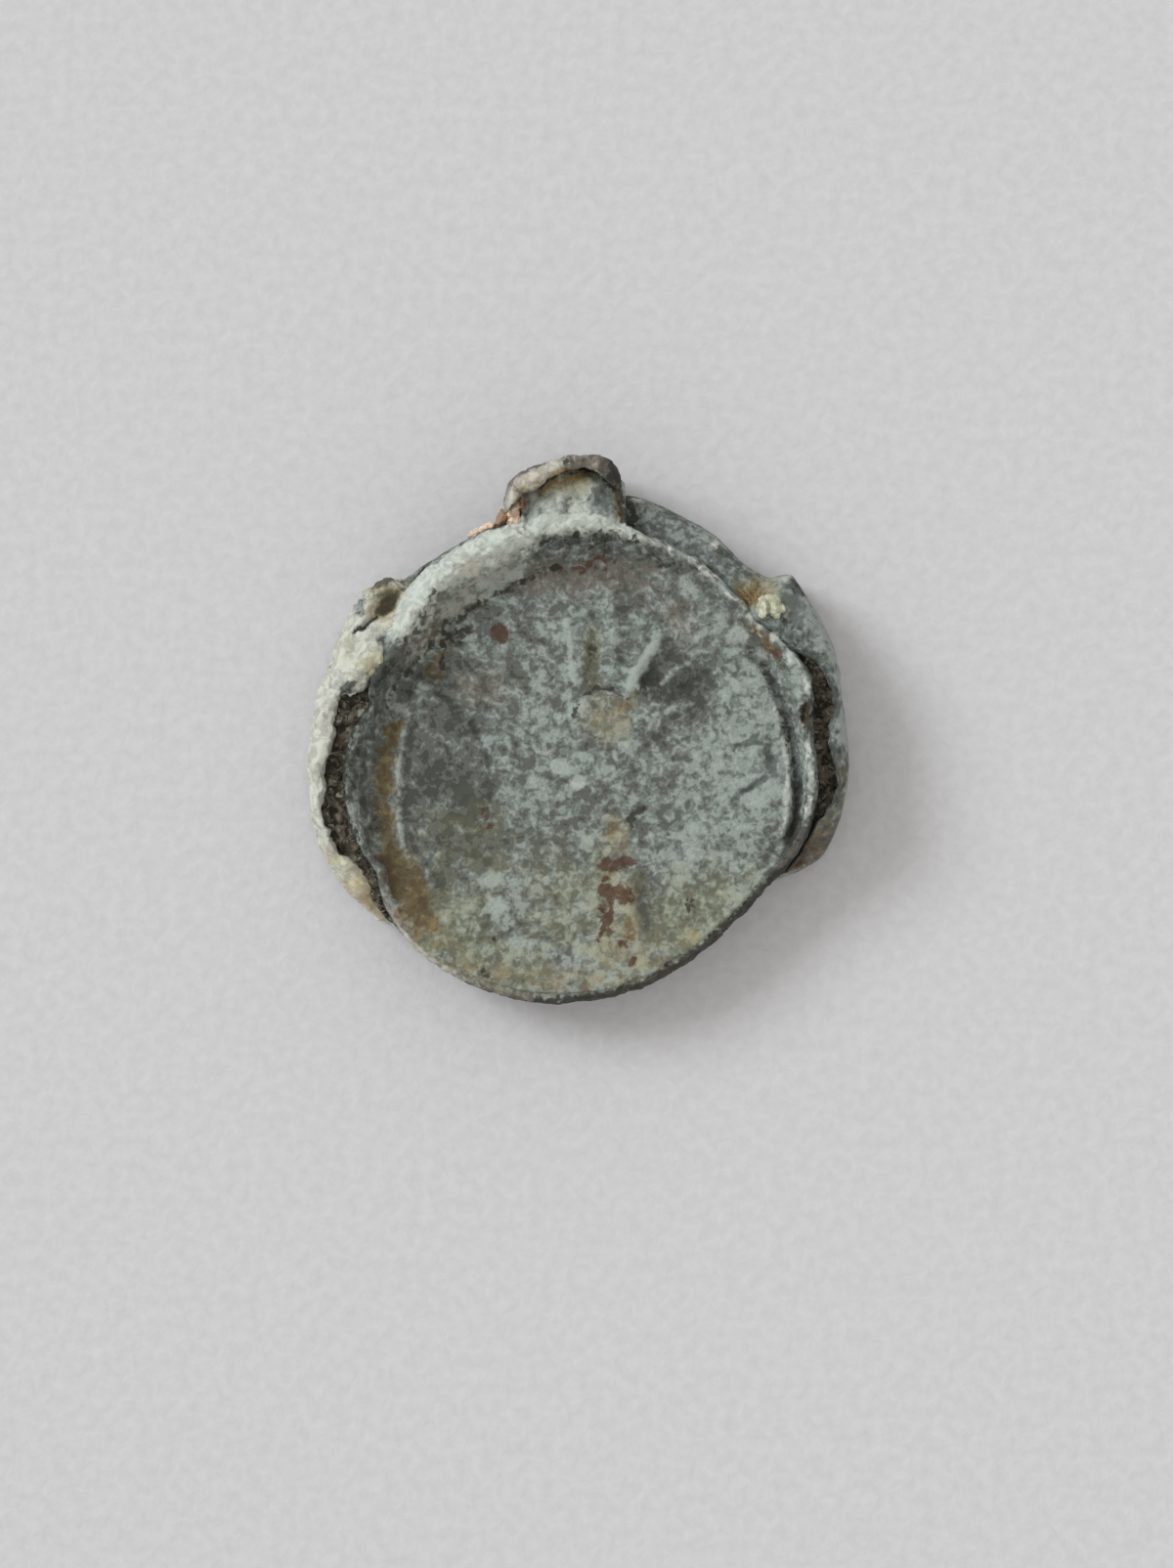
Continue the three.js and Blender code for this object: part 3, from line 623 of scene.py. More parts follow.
def frontMasks(points, r, angle, facing, border, zone):
    masks = blankMasks(len(points))
    x, y = points[:, 0], points[:, 1]
    crest, foot, edge = seal["crest"](angle), seal["foot"](angle), frontEdge(angle)
    lines = {"crest": crest, "foot": foot, "edge": edge, "middle": 0}
    for key, start, end, soft, line, away, width, strength in frontLook["arcs"]:
        masks[key] += strength * sector(angle, start, end, soft) * band(r, lines[line] + away, width)
    for key, start, end, soft, line, low, high, strength in frontLook["verges"]:
        there = ramp(r, lines[line] + low, lines[line] + high)
        masks[key] += strength * sector(angle, start, end, soft) * there
    look = frontLook["tongue"]
    tongue = ((y > look["from"]) & (np.abs(x - seal["tongueMiddle"]) < look["half"])).astype(float)
    masks["chalk"] = frontChalk(masks["chalk"], r, crest, edge, facing, border, zone)
    folded = tongue * (y > frontLook["foldStart"])
    # chalk dust on the tongue's upward faces, thinning towards its right side, which falls away from the
    # light: partly painted shade
    dustAndShade = 0.46 * ramp(facing, 0.2, 0.6) * (1 - 0.8 * ramp(x, -0.2, 0.3))
    masks["chalk"] = masks["chalk"] * (1 - folded) + dustAndShade * folded
    slope = ramp(r, foot - 0.1, foot + 0.3) * ramp(crest - r, -0.1, 0.25)
    upperSlope = zone["top"] * (1 - 0.8 * zone["lit"]) * ramp(r, foot + 0.3, foot + 0.8)
    upperWall = zone["top"] * (1 - zone["upperLeft"]) + 0.5 * zone["upperRight"]
    # the top and left inner slopes face away from the light; their slate is partly dark patina, partly
    # painted shade
    masks["slate_and_shade"] += slope * (0.55 * upperSlope + 0.38 * zone["left"])
    masks["slate_and_shade"] += 0.7 * upperWall * ramp(-facing, -0.35, 0.0)
    masks["blush"] += 0.55 * slope * zone["pink"] * ramp(foot + 0.9 - r, 0, 0.4)
    masks["ochre"] += 0.95 * zone["ochre"] * band(r, 8.47, 0.4) * ramp(facing, 0, 0.4)
    # painted shade on the faces that look down, strongest round the bottom edge
    elsewhere = (1 - zone["bottom"]) * (1 - zone["top"])
    underShade = 0.4 * elsewhere + 0.5 * zone["left"] + 0.7 * zone["bottom"]
    masks["soil_and_shade"] += underShade * ramp(-facing, -0.3, -0.05)
    masks["tone"] += border * (0.18 * zone["left"] + 0.14 * zone["right"])
    # painted shadow: a thin darker line on the field side of the raised border, on the left
    masks["tone"] -= 0.16 * zone["left"] * band(r, seal["border"](angle) - 0.38, 0.16)
    masks["tone"] += 0.15 * tongue + slope * (0.1 * zone["pale"] + 0.12 * zone["lit"])
    masks["lichen"] += 0.1 * tongue
    for *oval, amount in frontLook["tones"]:
        masks["tone"] += amount * spot(x, y, *oval)
    stain(masks, points, ramp(facing, 0.2, 0.7), frontLook)
    stain(masks, points, tongue, look)
    return masks


def frontChalk(chalk, r, crest, edge, facing, border, zone):
    # pale crust along the rim, added to what is there
    spread = 0.5 * (edge - crest)
    crust = zone["top"] * band(r, crest + 0.1 + 0.4 * spread, 0.42 + 0.6 * spread)
    crust = crust * ramp(facing, 0.1, 0.5) * (1 - zone["bare"])
    white = zone["white"] * ramp(r, crest - 0.12, crest + 0.12)
    right = 0.42 * band(r, crest - 0.18, 0.22) * (1 - zone["lowerRight"]) + 0.5 * border
    low = zone["lowerLeft"] * (1 - zone["bottom"]) * ramp(r, edge - 0.3, edge - 0.1)
    return chalk + 1.1 * np.maximum(crust, white) + zone["right"] * right + 0.7 * low


def cutHole(piece):
    # the rivet's hole, as a plain cutter through the disc
    bpy.ops.mesh.primitive_cylinder_add(
        vertices=64, radius=seal["rivetHole"], depth=6, location=(*seal["rivet"], 3))
    cutter = bpy.context.object
    cut = piece.modifiers.new("hole", "BOOLEAN")
    cut.operation = "DIFFERENCE"
    cut.solver = "EXACT"
    cut.object = cutter
    bpy.context.view_layer.objects.active = piece
    bpy.ops.object.modifier_apply(modifier=cut.name)
    bpy.data.objects.remove(cutter)

# Rear disc

rearLook = {
    "angles": 704,
    "busyAngles": [(49, 1.5, 3), (132.5, 1.8, 4), (158, 2, 2.5), (212, 4, 1.5), (338, 4, 2), (86, 2, 2)],
    "ringRadius": 6.0, "ringWidth": 0.3, "ringDepth": 0.1,
    "noise": [   # size, seed, height, height added on the crust
        (2.8, 5, 0.05, 0), (0.6, 6, 0.035, 0.07), (0.22, 7, 0.014, 0.02)],
    "chunks": [(0.62, 10, 0.17), (0.3, 13, 0.07)],
    "zones": {   # parts of the lips, in degrees: from, to, softness
        "left": (131, 214, 6), "right": (330, 50, 6), "low": (338, 10, 6), "upper": (50, 90, 4),
        "crust": (132, 214, 12), "chunky": (130, 162, 10), "leftLip": (132, 212, 6),
        "upperLip": (50, 88, 4)},
    "knobs": [   # small lumps on the lips: middle, half size, height
        (-9.95, 4.4, 0.45, 0.3), (9.1, 2.6, 0.25, 0.3), (9.3, 1.9, 0.18, 0.25),
        (-8.8, 5.2, 0.5, 0.15), (8.6, 6.6, 0.3, 0.15), (-11.1, 3.2, 0.3, 0.15),
        (-10.6, 6.0, 0.4, 0.18), (-11.3, 1.0, 0.3, 0.14), (-9.3, -3.9, 0.35, 0.3),
        (-9.9, -3.0, 0.3, 0.25), (8.05, 8.8, 0.3, 0.25)],
    "dents": [   # hollows in the lips: middle, half sizes, turn, depth
        (-8.3, 7.6, 0.62, 0.34, 48, 0.95), (8.3, 8.1, 0.5, 0.3, -40, 0.2),
        (7.6, 6.9, 0.4, 0.4, 0, 0.2), (-8.3, 6.1, 0.45, 0.3, 40, 0.12)],
    "cracks": [   # start, end, half width, depth
        (-8.8, 7.05, -9.55, 6.45, 0.12, 0.4), (-9.2, 5.8, -10.1, 5.3, 0.12, 0.15)],
    "bare": [   # where the pale crust is thin: middle, half sizes
        (-8.24, 6.05, 0.5, 0.4), (-8.55, 8.3, 0.6, 0.36), (-9.4, 7.6, 0.3, 0.5),
        (-10.6, 6.9, 0.25, 0.4)],
    "stains": {   # middle, half sizes, turn, strength
        # at the right lip's corner, the pale tone and chalk near (7.95, 8.8) are partly painted highlight
        # on the face toward the light, and the slate and soil at (8.5, 8.45) painted shade on the face away
        # from it
        "tone": [(7.95, 8.75, 0.5, 0.4, 30, 1.0), (8.12, 7.9, 0.2, 0.18, 0, 0.9),
            (8.26, 7.08, 0.22, 0.22, 0, 0.85), (8.35, 6.4, 0.18, 0.26, 0, 0.85),
            (9.0, -1.9, 1.0, 0.9, 0, 0.4)],
        "slate_and_shade": [(-8.3, 7.65, 0.7, 0.38, 48, 1.3), (-7.75, 8.2, 0.5, 0.24, 25, 0.8),
            (-8.7, 8.65, 0.75, 0.3, 16, 1.2), (-8.95, 7.9, 0.3, 0.4, -30, 0.7),
            (-7.9, 8.75, 0.4, 0.2, 0, 1.0), (-8.3, 6.1, 0.4, 0.24, 40, 0.66),
            (-9.85, 4.05, 0.6, 0.5, 20, 0.9), (-9.5, 6.0, 0.3, 0.14, 30, 0.6),
            (8.5, 8.45, 0.5, 0.34, -50, 1.3), (8.2, 7.2, 0.7, 1.3, 20, 0.72),
            (9.0, -1.8, 1.2, 1.0, 20, 0.7), (9.75, 2.0, 0.3, 0.3, 0, 0.6)],
        "chalk": [(7.95, 8.85, 0.36, 0.26, 30, 0.5), (5.1, 10.25, 0.2, 0.14, 0, 0.8),
            (1.6, 12.1, 0.5, 0.14, -18, 0.7), (-8.9, -4.6, 1.1, 0.6, -45, 1.0)],
        "blush": [(-8.2, 8.4, 0.7, 0.35, 0, 0.45), (9.0, -2.2, 1.1, 1.0, 20, 1.0),
            (-9.2, -4.3, 1.4, 0.9, -45, 0.6), (-10.2, -2.6, 0.8, 0.8, -45, 0.35)],
        "lichen": [(-8.8, 5.1, 0.7, 0.5, 30, 1.0), (-10.4, 6.2, 1.2, 1.1, 0, 0.3),
            (-9.6, -3.6, 1.7, 0.9, -45, 0.75)],
        "tan": [(-8.3, 7.65, 0.8, 0.5, 48, 1.2), (-8.15, 8.2, 0.4, 0.25, 10, 1.0),
            (-8.6, 8.25, 0.6, 0.35, 20, 0.8), (-8.7, 5.0, 0.5, 0.3, 30, 0.6),
            (6.6, 8.2, 0.95, 0.6, 20, 1.4), (-8.9, -4.2, 0.9, 0.7, -45, 0.7)],
        "ochre": [(6.45, 8.05, 0.7, 0.4, 20, 0.8), (9.0, -1.9, 1.0, 0.8, 20, 0.3)],
        "rust": [(8.0, -3.1, 0.9, 0.2, 15, 0.5)],
        "soil_and_shade": [(-9.4, 3.6, 0.6, 0.34, 15, 0.9), (8.5, 8.45, 0.42, 0.28, -50, 0.7),
            (8.35, 6.0, 0.4, 0.14, 10, 0.6), (7.95, 6.85, 0.25, 0.25, 0, 0.6),
            (8.35, -1.4, 0.22, 0.8, 0, 0.8), (1.55, 11.5, 0.3, 1.0, 10, 0.9),
            (7.2, 9.0, 0.3, 0.2, 20, 0.5)]},
    "streaks": {   # start, end, half width, strength
        "slate_and_shade": [(-8.8, 7.05, -9.55, 6.45, 0.16, 1.0)]},
}


def rearControls(angles):
    # the same for the rear disc, with the lip on its edge
    edge, lip, plate = seal["outside"](angles), seal["lip"](angles), seal["plateTop"]
    zone, ring, level = zonesOf(rearLook, angles), roundPoints(angles, 10.5), 0 * edge
    jag, chips = lumps(ring, 0.9, 11), lumps(ring, 0.38, 12)
    upper, left, tall = zone["upperLip"], zone["leftLip"], ramp(lip, 0.2, 1.5)
    crest = plate + lip + tall * (0.14 * jag + 0.06 * chips) * (1 - 0.6 * upper)
    inner = lipWall(angles) + 0.12 * tall * ramp(seal["gap"](angles), 0.05, 0.3) * (jag + chips)
    wide = edge - inner
    radii = inwards([   # up the outside, over the top and down the inside of the lip
        edge - 0.03 * wide, edge - 0.08 * wide, edge - 0.25 * wide, inner + (0.4 + 0.25 * upper) * wide,
        inner + (0.16 - 0.1 * left) * wide, inner + 0.04 * (1 - left), inner - 0.02, inner - 0.06,
        inner - 0.6], 0.02)
    heights = [
        plate + 0.3 * lip - 0.1, plate + 0.66 * lip - 0.05, plate + 0.9 * lip, crest, crest - 0.02,
        crest - 0.12 * lip, plate + 0.4 * lip, plate + 0.04 * lip, plate + level]
    controls = [(edge * k / 6, level) for k in range(6)]
    controls += [(edge - 1.0, level), (edge - 0.35, level + 0.03), (edge - 0.04, level + 0.45)]
    controls += [(edge, level + 1.0)] + list(zip(radii, heights))
    controls += [(inner * 0.5, plate + level), (level, plate + level)]
    counts = [3, 3, 5, 9, 9, 6, 5, 6, 6, 7, 8, 9, 10, 8, 6, 7, 5, 4, 3, 3]
    return controls, counts


def makeRearDisc():
    angles = spreadAngles(rearLook["angles"], rearLook["busyAngles"])
    piece, u = turnedMesh("rear_disc_lipped", angles, *rearControls(angles))
    points, normals = shapeOf(piece)
    x, y = points[:, 0], points[:, 1]
    r, angle = polar(x, y)
    zone = zonesOf(rearLook, angle)
    crust = zone["crust"] * ramp(u, 8.5, 10) * ramp(-u, -16, -14.5)
    layers, offset = weather(points, rearLook["noise"], crust)
    offset += crust * (0.45 + 0.55 * zone["chunky"]) * chunks(points, rearLook["chunks"])
    under = ramp(-normals[:, 2], 0.5, 0.9)
    offset -= 0.04 * under
    moved = points + normals * offset[:, None]
    moved[:, 2] += rearLook["ringDepth"] * band(r, rearLook["ringRadius"], rearLook["ringWidth"]) * under
    up = ramp(normals[:, 2], 0.0, 0.4)
    for *middle, half, tall in rearLook["knobs"]:
        moved[:, 2] += tall * spot(x, y, *middle, half, half) * up
    for *oval, deep in rearLook["dents"]:
        moved[:, 2] -= deep * spot(x, y, *oval) * up
    for *bar, deep in rearLook["cracks"]:
        moved[:, 2] -= deep * stroke(x + 0.08 * layers[1], y, *bar) * up
    moved[:, 2] = np.maximum(moved[:, 2], 0.0)
    setPoints(piece, moved)
    masks = rearMasks(points, u, normals[:, 2], zone)
    masks["tone"] += 0.07 * layers[1] + 0.06 * layers[0]
    paint(piece, masks)
    return piece


def rearMasks(points, u, facing, zone):
    # u counts the controls from the axis below, over the lip, to the axis above
    masks = blankMasks(len(points))
    x, y, z = points.T
    outside = ramp(u, 7.0, 8.0) * ramp(-u, -15.4, -14.8)
    inside = ramp(u, 15.2, 15.8)
    masks["chalk"] += 1.1 * zone["left"] * outside
    for oval in rearLook["bare"]:
        masks["chalk"] *= 1 - 0.75 * spot(x, y, *oval)
    # the soil on the lip's inner wall, down into the crevice, is soil and painted shade together; on the
    # upper lip a band of soil lies on its outer wall instead
    masks["soil_and_shade"] += 0.95 * inside * (1 - zone["upper"]) + 0.5 * zone["upper"] * band(u, 9.5, 0.6)
    # darker towards the bottom, near the paper, and less on the left that faces the light: painted shade
    masks["soil_and_shade"] += 0.35 * ramp(0.4 - z, 0, 0.4) * (u > 7) * (1 - 0.8 * zone["left"])
    masks["slate_and_shade"] += 0.4 * zone["right"] * outside * ramp(u, 12.8, 13.4)
    masks["ochre"] += 0.3 * ramp(-facing, 0.4, 0.9)
    masks["tone"] += 0.02 * zone["upper"] + zone["right"] * (0.25 - 0.2 * ramp(u, 12.4, 13.2))
    masks["tone"] -= 0.28 * zone["low"] * outside
    masks["tan"] += 0.26 * zone["low"] * outside
    stain(masks, points, ramp(facing, -0.1, 0.35), rearLook)
    masks["chalk"] *= 1 - ramp(masks["slate_and_shade"], 0.5, 1.0)
    return masks

# Connecting strip

stripLook = {
    "stations": 90, "rows": 84, "from": -3.52, "to": 1.22, "rounding": 0.22,
    "wall": 0.2, "flap": 0.36, "arm": 0.36,   # half thickness: least and most in the fold, lower arm
    "lowest": 0.05, "highest": 5.15,
    "noise": [(1.2, 21, 0.05, 0), (0.5, 22, 0.07, 0), (0.18, 23, 0.025, 0)],
    "outer": [   # plan of the fold's outer face: x, y
        (-3.6, 11.7), (-3.5, 12.25), (-3.28, 12.72), (-2.84, 13.05), (-2.2, 13.28), (-1.3, 13.46),
        (-0.95, 13.62), (0.36, 13.68), (0.8, 13.48), (1.05, 13.15), (1.25, 12.75)],
    "lip": [   # plan of the edge that laps over the tongue
        (-3.6, 11.2), (-3.3, 11.55), (-3.04, 11.85), (-2.72, 12.12), (-2.2, 12.3), (-2.0, 12.5),
        (-1.56, 12.78), (-0.88, 13.0), (-0.32, 13.1), (0.24, 12.9), (0.6, 12.72),
        (0.96, 12.4), (1.25, 12.2)],
    "top": [   # height of the fold
        (-3.6, 4.2), (-3.2, 4.6), (-2.4, 4.95), (-1.2, 5.08), (0.3, 5.06), (0.8, 4.85), (1.25, 4.35)],
    "stains": {   # middle, half sizes, turn, strength
        "tone": [(-0.4, 13.5, 0.5, 0.14, 0, 0.75)],
        "chalk": [(-2.5, 12.75, 0.9, 0.36, 25, 0.9), (-1.5, 13.15, 0.45, 0.24, 20, 1.1),
            (-3.3, 11.9, 0.25, 0.45, 0, 0.8)],
        "blush": [(-2.7, 12.6, 0.8, 0.4, 25, 0.4), (0.1, 13.3, 0.9, 0.4, 0, 0.9)],
        "tan": [(-2.3, 12.4, 0.8, 0.14, 25, 0.8)],
        "ochre": [(-1.0, 12.95, 0.7, 0.14, 15, 0.7)],
        # (0.98, 12.95) darkens the right end of the fold: painted shade
        "soil_and_shade": [(-1.05, 13.25, 0.12, 0.3, 0, 0.66), (0.98, 12.95, 0.4, 0.5, 0, 1.1)]},
    "streaks": {   # start, end, half width, strength
        "slate_and_shade": [(-3.45, 12.3, -2.9, 12.95, 0.2, 0.9), (-2.8, 13.0, -1.4, 13.5, 0.16, 0.9)]},
}


def stripSection(x, outer, lip, top, ends):
    # one slice across the fold, as a closed loop of points at this x
    half = np.clip(0.4 * (outer - lip), stripLook["wall"], stripLook["flap"])
    wall = outer - half
    path = np.array([   # y and z: along the lower arm, up the wall and over the top to the lip
        (min(11.1, outer - 1.2), 0.5), (min(11.8, outer - 0.9), 0.5), (min(12.5, outer - 0.6), 0.52),
        (wall - 0.12, 0.75), (wall + 0.02, 1.5), (wall + 0.02, 2.8), (wall, 3.8),
        (wall - 0.05, top - half - 0.12), (0.5 * (outer + lip), top - half),
        (lip + 0.4 * half, top - half - 0.02), (lip + 0.25 * half, top - 1.25 * half)])
    count = stripLook["rows"] // 2
    line = splineWeights(len(path), np.linspace(0, len(path) - 1, count)) @ path
    along = np.gradient(line, axis=0)
    along /= np.linalg.norm(along, axis=1)[:, None]
    normal = np.stack([along[:, 1], -along[:, 0]], 1)
    share = np.linspace(0, 1, count)
    arm = stripLook["arm"] + (half - stripLook["arm"]) * ramp(share, 0.25, 0.45)
    tip = np.sqrt(np.clip(1 - np.clip((share - 0.95) / 0.06, 0, 1) ** 2, 0.02, 1))
    thick = (arm * tip * ends)[:, None]
    loop = np.concatenate([line + normal * thick, (line - normal * thick)[::-1]])
    return np.stack([np.full(len(loop), x), loop[:, 0], loop[:, 1]], 1)


def makeStrip():
    look = stripLook
    turn = np.linspace(0, np.pi, look["stations"])
    middle, half = (look["from"] + look["to"]) / 2, (look["to"] - look["from"]) / 2
    sections = []
    for x in middle - half * np.cos(turn):
        outer, lip, top = (np.interp(x, *np.array(look[key]).T) for key in ("outer", "lip", "top"))
        past = max(0, abs(x - middle) - half + look["rounding"]) / look["rounding"]
        sections.append(stripSection(x, outer, lip, top, math.sqrt(max(0.01, 1 - past ** 2))))
    piece = loopMesh("folded_strip", sections, False)
    points, normals = shapeOf(piece)
    layers, offset = weather(points, look["noise"])
    moved = points + normals * offset[:, None]
    moved[:, 2] = np.clip(moved[:, 2], look["lowest"], look["highest"])
    setPoints(piece, moved)
    x, z = points[:, 0], points[:, 2]
    top, right = ramp(z, 3.6, 4.4), ramp(x, -1.2, -0.8)
    masks = blankMasks(len(x))
    # the right part, which faces away from the light, is made darker and slate-grey: painted shade
    masks["tone"] += 0.06 * layers[1] + 0.05 - 0.11 * right
    masks["slate_and_shade"] += (0.6 + 0.4 * ramp(x, 0.2, 0.7)) * right * top
    # painted shade on the faces under the fold that look towards the tongue
    masks["soil_and_shade"] += 0.8 * ramp(-normals[:, 1], 0.3, 0.8) * ramp(z, 3.0, 4.4) * ramp(4.75 - z, 0, 0.2)
    masks["ochre"] += 0.34 * ramp(3.8 - z, 0, 2.8)
    stain(masks, points, top * ramp(normals[:, 2], -0.2, 0.3), look)
    masks["chalk"] *= 1 - ramp(masks["slate_and_shade"], 0.4, 0.8)
    paint(piece, masks)
    return piece

# Rivet

rivetLook = {
    "angles": 128, "head": 1.5, "shank": 1.0, "root": 0.8, "proud": 0.07,
    "open": 0.1, "openZone": (62, 132, 20),   # how far the hole shows over the head, and where
    "noise": [(0.5, 31, 0.04, 0), (0.2, 32, 0.014, 0)],
    "colours": [   # mask, middle from the rivet's own, half sizes, strength
        ("lichen", 0, 0.1, 1.1, 1.0, 0.62), ("blush", 0.2, 0.1, 1.1, 0.9, 0.55),
        ("tan", 0.3, 0.2, 0.9, 0.8, 0.46), ("ochre", 0.95, 0.6, 0.3, 0.35, 0.5)],
}


def makeRivet():
    look, field = rivetLook, seal["field"]
    angles = spreadAngles(look["angles"])
    one = np.ones(len(angles))
    head = look["head"] - look["open"] * sector(angles, *look["openZone"])
    head = head + 0.12 * lumps(roundPoints(angles, 1.4), 0.6, 30)
    shank, root, crown = look["shank"], look["root"], field + look["proud"]
    controls = [
        (0, root), (shank, root), (shank, root + 0.4), (shank, field - 0.9), (shank + 0.1, field - 0.5),
        (head - 0.1, field - 0.45), (head + 0.08, field - 0.25), (head, field - 0.12),
        (head * 0.8, field + 0.6 * look["proud"]), (head * 0.45, crown), (0, crown)]
    controls = [(r * one, z * one) for r, z in controls]
    piece = turnedMesh("rivet_head", angles, controls, [4, 3, 6, 4, 4, 5, 5, 8, 8, 8], (0.8, 0.4, 0.2))[0]
    points, normals = shapeOf(piece)
    points += (*seal["rivet"], 0)
    layers, offset = weather(points, look["noise"])
    setPoints(piece, points + normals * offset[:, None])
    dx, dy = points[:, 0] - seal["rivet"][0], points[:, 1] - seal["rivet"][1]
    masks = blankMasks(len(points))
    masks["tone"] += 0.06 * layers[0] - 0.03 * ramp(np.hypot(dx, dy), 1.0, 1.4)
    for key, *oval, strength in look["colours"]:
        masks[key] += strength * spot(dx, dy, *oval)
    # painted shade: a dark crescent along the top of the head, where it dips under the face
    masks["soil_and_shade"] += 0.6 * ramp(dy, 1.0, 1.25)
    paint(piece, masks)
    return piece

# Cloth, soil and crusts between the discs

packingLook = {
    "clothAngles": 384, "earthAngles": 640,
    "clothNoise": [(0.35, 41, 0.03, 0)],
    "earthNoise": [(0.6, 42, 0.2, 0), (0.25, 43, 0.1, 0)], "earthChunks": [(0.5, 44, 0.35)],
    "earthOutline": [   # across and up the crevice, 0 to 1
        (0, 0), (1, 0), (1, 0.6), (1, 0.95), (0.8, 1), (0.65, 0.98), (0.5, 0.97), (0.35, 0.98),
        (0.2, 1), (0, 0.95), (0, 0.5)],
    "clothReach": ringCurve([   # how far the cloth comes out past the front disc's edge
        (0, -0.5), (38, -0.5), (97, -0.3), (103, 0.1), (107, 0.2), (112, -0.2), (122, -0.5), (210, -0.5),
        (240, -0.8), (320, -0.8)]),
    "earthTop": ringCurve([   # how far the crevice is filled
        (0, 2.75), (18, 2.8), (30, 3.1), (38, 2.6), (48, 2.2), (60, 1.8), (128, 1.8), (134, 3.2),
        (142, 3.6), (156, 3.8), (163, 3.7), (176, 3.5), (190, 3.3), (200, 3.1), (208, 2.7), (214, 2.2),
        (222, 1.8), (340, 1.8), (352, 2.4)]),
}


def makeCloth():
    angles = spreadAngles(packingLook["clothAngles"])
    edge = frontEdge(angles) + packingLook["clothReach"](angles)
    low, high, level = seal["plateTop"], seal["frontUnder"], 0 * edge
    controls = [(edge * k / 4, level + low) for k in range(4)]
    controls += [(edge - 0.1, level + low), (edge, level + low + 0.15), (edge - 0.05, level + high - 0.1)]
    controls += [(edge - 0.25, level + high), (edge - 0.6, level + high)]
    controls += [(edge * k / 4, level + high) for k in (3, 2, 1, 0)]
    piece = turnedMesh("trapped_cloth", angles, controls, [5, 5, 5, 5, 3, 3, 3, 3, 5, 5, 5, 5])[0]
    points, normals = shapeOf(piece)
    offset = weather(points, packingLook["clothNoise"])[1]
    setPoints(piece, points + normals * offset[:, None])
    return piece


def makeEarth():
    # a rough bead of soil in the crevice, all the way round
    angles = spreadAngles(packingLook["earthAngles"])
    edge, high, turn = frontEdge(angles), packingLook["earthTop"](angles), np.radians(angles)
    inner, outer = edge - 0.3, np.maximum(lipWall(angles) + 0.12, edge - 0.1)
    base = seal["frontUnder"] - 0.2
    sections = []
    for k in range(len(angles)):
        corners = np.array([
            (inner[k] + (outer[k] - inner[k]) * across, base + (high[k] - base) * up)
            for across, up in packingLook["earthOutline"]])
        between = (corners + np.roll(corners, -1, 0)) / 2
        loop = np.stack([corners, between], 1).reshape(-1, 2)
        sections.append([(r * math.cos(turn[k]), r * math.sin(turn[k]), z) for r, z in loop])
    piece = loopMesh("packed_earth", np.array(sections), True)
    points, normals = shapeOf(piece)
    rough = weather(points, packingLook["earthNoise"])[1] + chunks(points, packingLook["earthChunks"], 0.4)
    points[:, 2] += rough * ramp(normals[:, 2], 0.2, 0.6)
    setPoints(piece, points)
    return piece


crumbsLook = {   # lumps are middle, half sizes, turn; the nodule's are lifted off the lead below it
    "voxel": 0.04,
    "pink_earth": {
        "noise": [(0.35, 51, 0.09, 0), (0.14, 52, 0.05, 0)],
        "red": [(-3.62, 11.2, 0.3, 0.5), (-2.8, 12.0, 0.15, 0.5)],
        "lumps": [
            ((-3.12, 11.5, 2.9), (0.32, 0.7, 1.1), 0), ((-3.1, 11.0, 3.5), (0.38, 0.28, 0.5), 20),
            ((-3.62, 11.2, 2.6), (0.26, 0.45, 0.9), -20), ((-4.2, 10.8, 2.7), (0.5, 0.24, 0.8), 25),
            ((-4.75, 10.6, 2.4), (0.32, 0.26, 0.6), 0), ((-2.85, 11.9, 3.2), (0.16, 0.5, 0.9), 0)]},
    "cream_nodule": {
        "noise": [(0.35, 53, 0.09, 0), (0.14, 54, 0.05, 0)],
        "red": [(7.18, 7.42, 0.12, 0.28)],
        "lumps": [
            ((6.93, 7.22, -0.02), (0.15, 0.2, 0.14), 0), ((6.86, 7.5, 0.0), (0.17, 0.26, 0.16), 0),
            ((6.97, 7.78, 0.02), (0.21, 0.18, 0.18), 20), ((7.2, 7.86, 0.02), (0.24, 0.17, 0.18), 0),
            ((7.46, 7.74, 0.04), (0.24, 0.2, 0.2), -20), ((7.42, 7.5, 0.04), (0.2, 0.26, 0.2), 10),
            ((7.5, 7.22, 0.0), (0.18, 0.2, 0.16), 0), ((7.72, 7.45, 0.0), (0.18, 0.16, 0.14), 0),
            ((7.2, 7.5, -0.05), (0.24, 0.32, 0.14), 0)]},
}


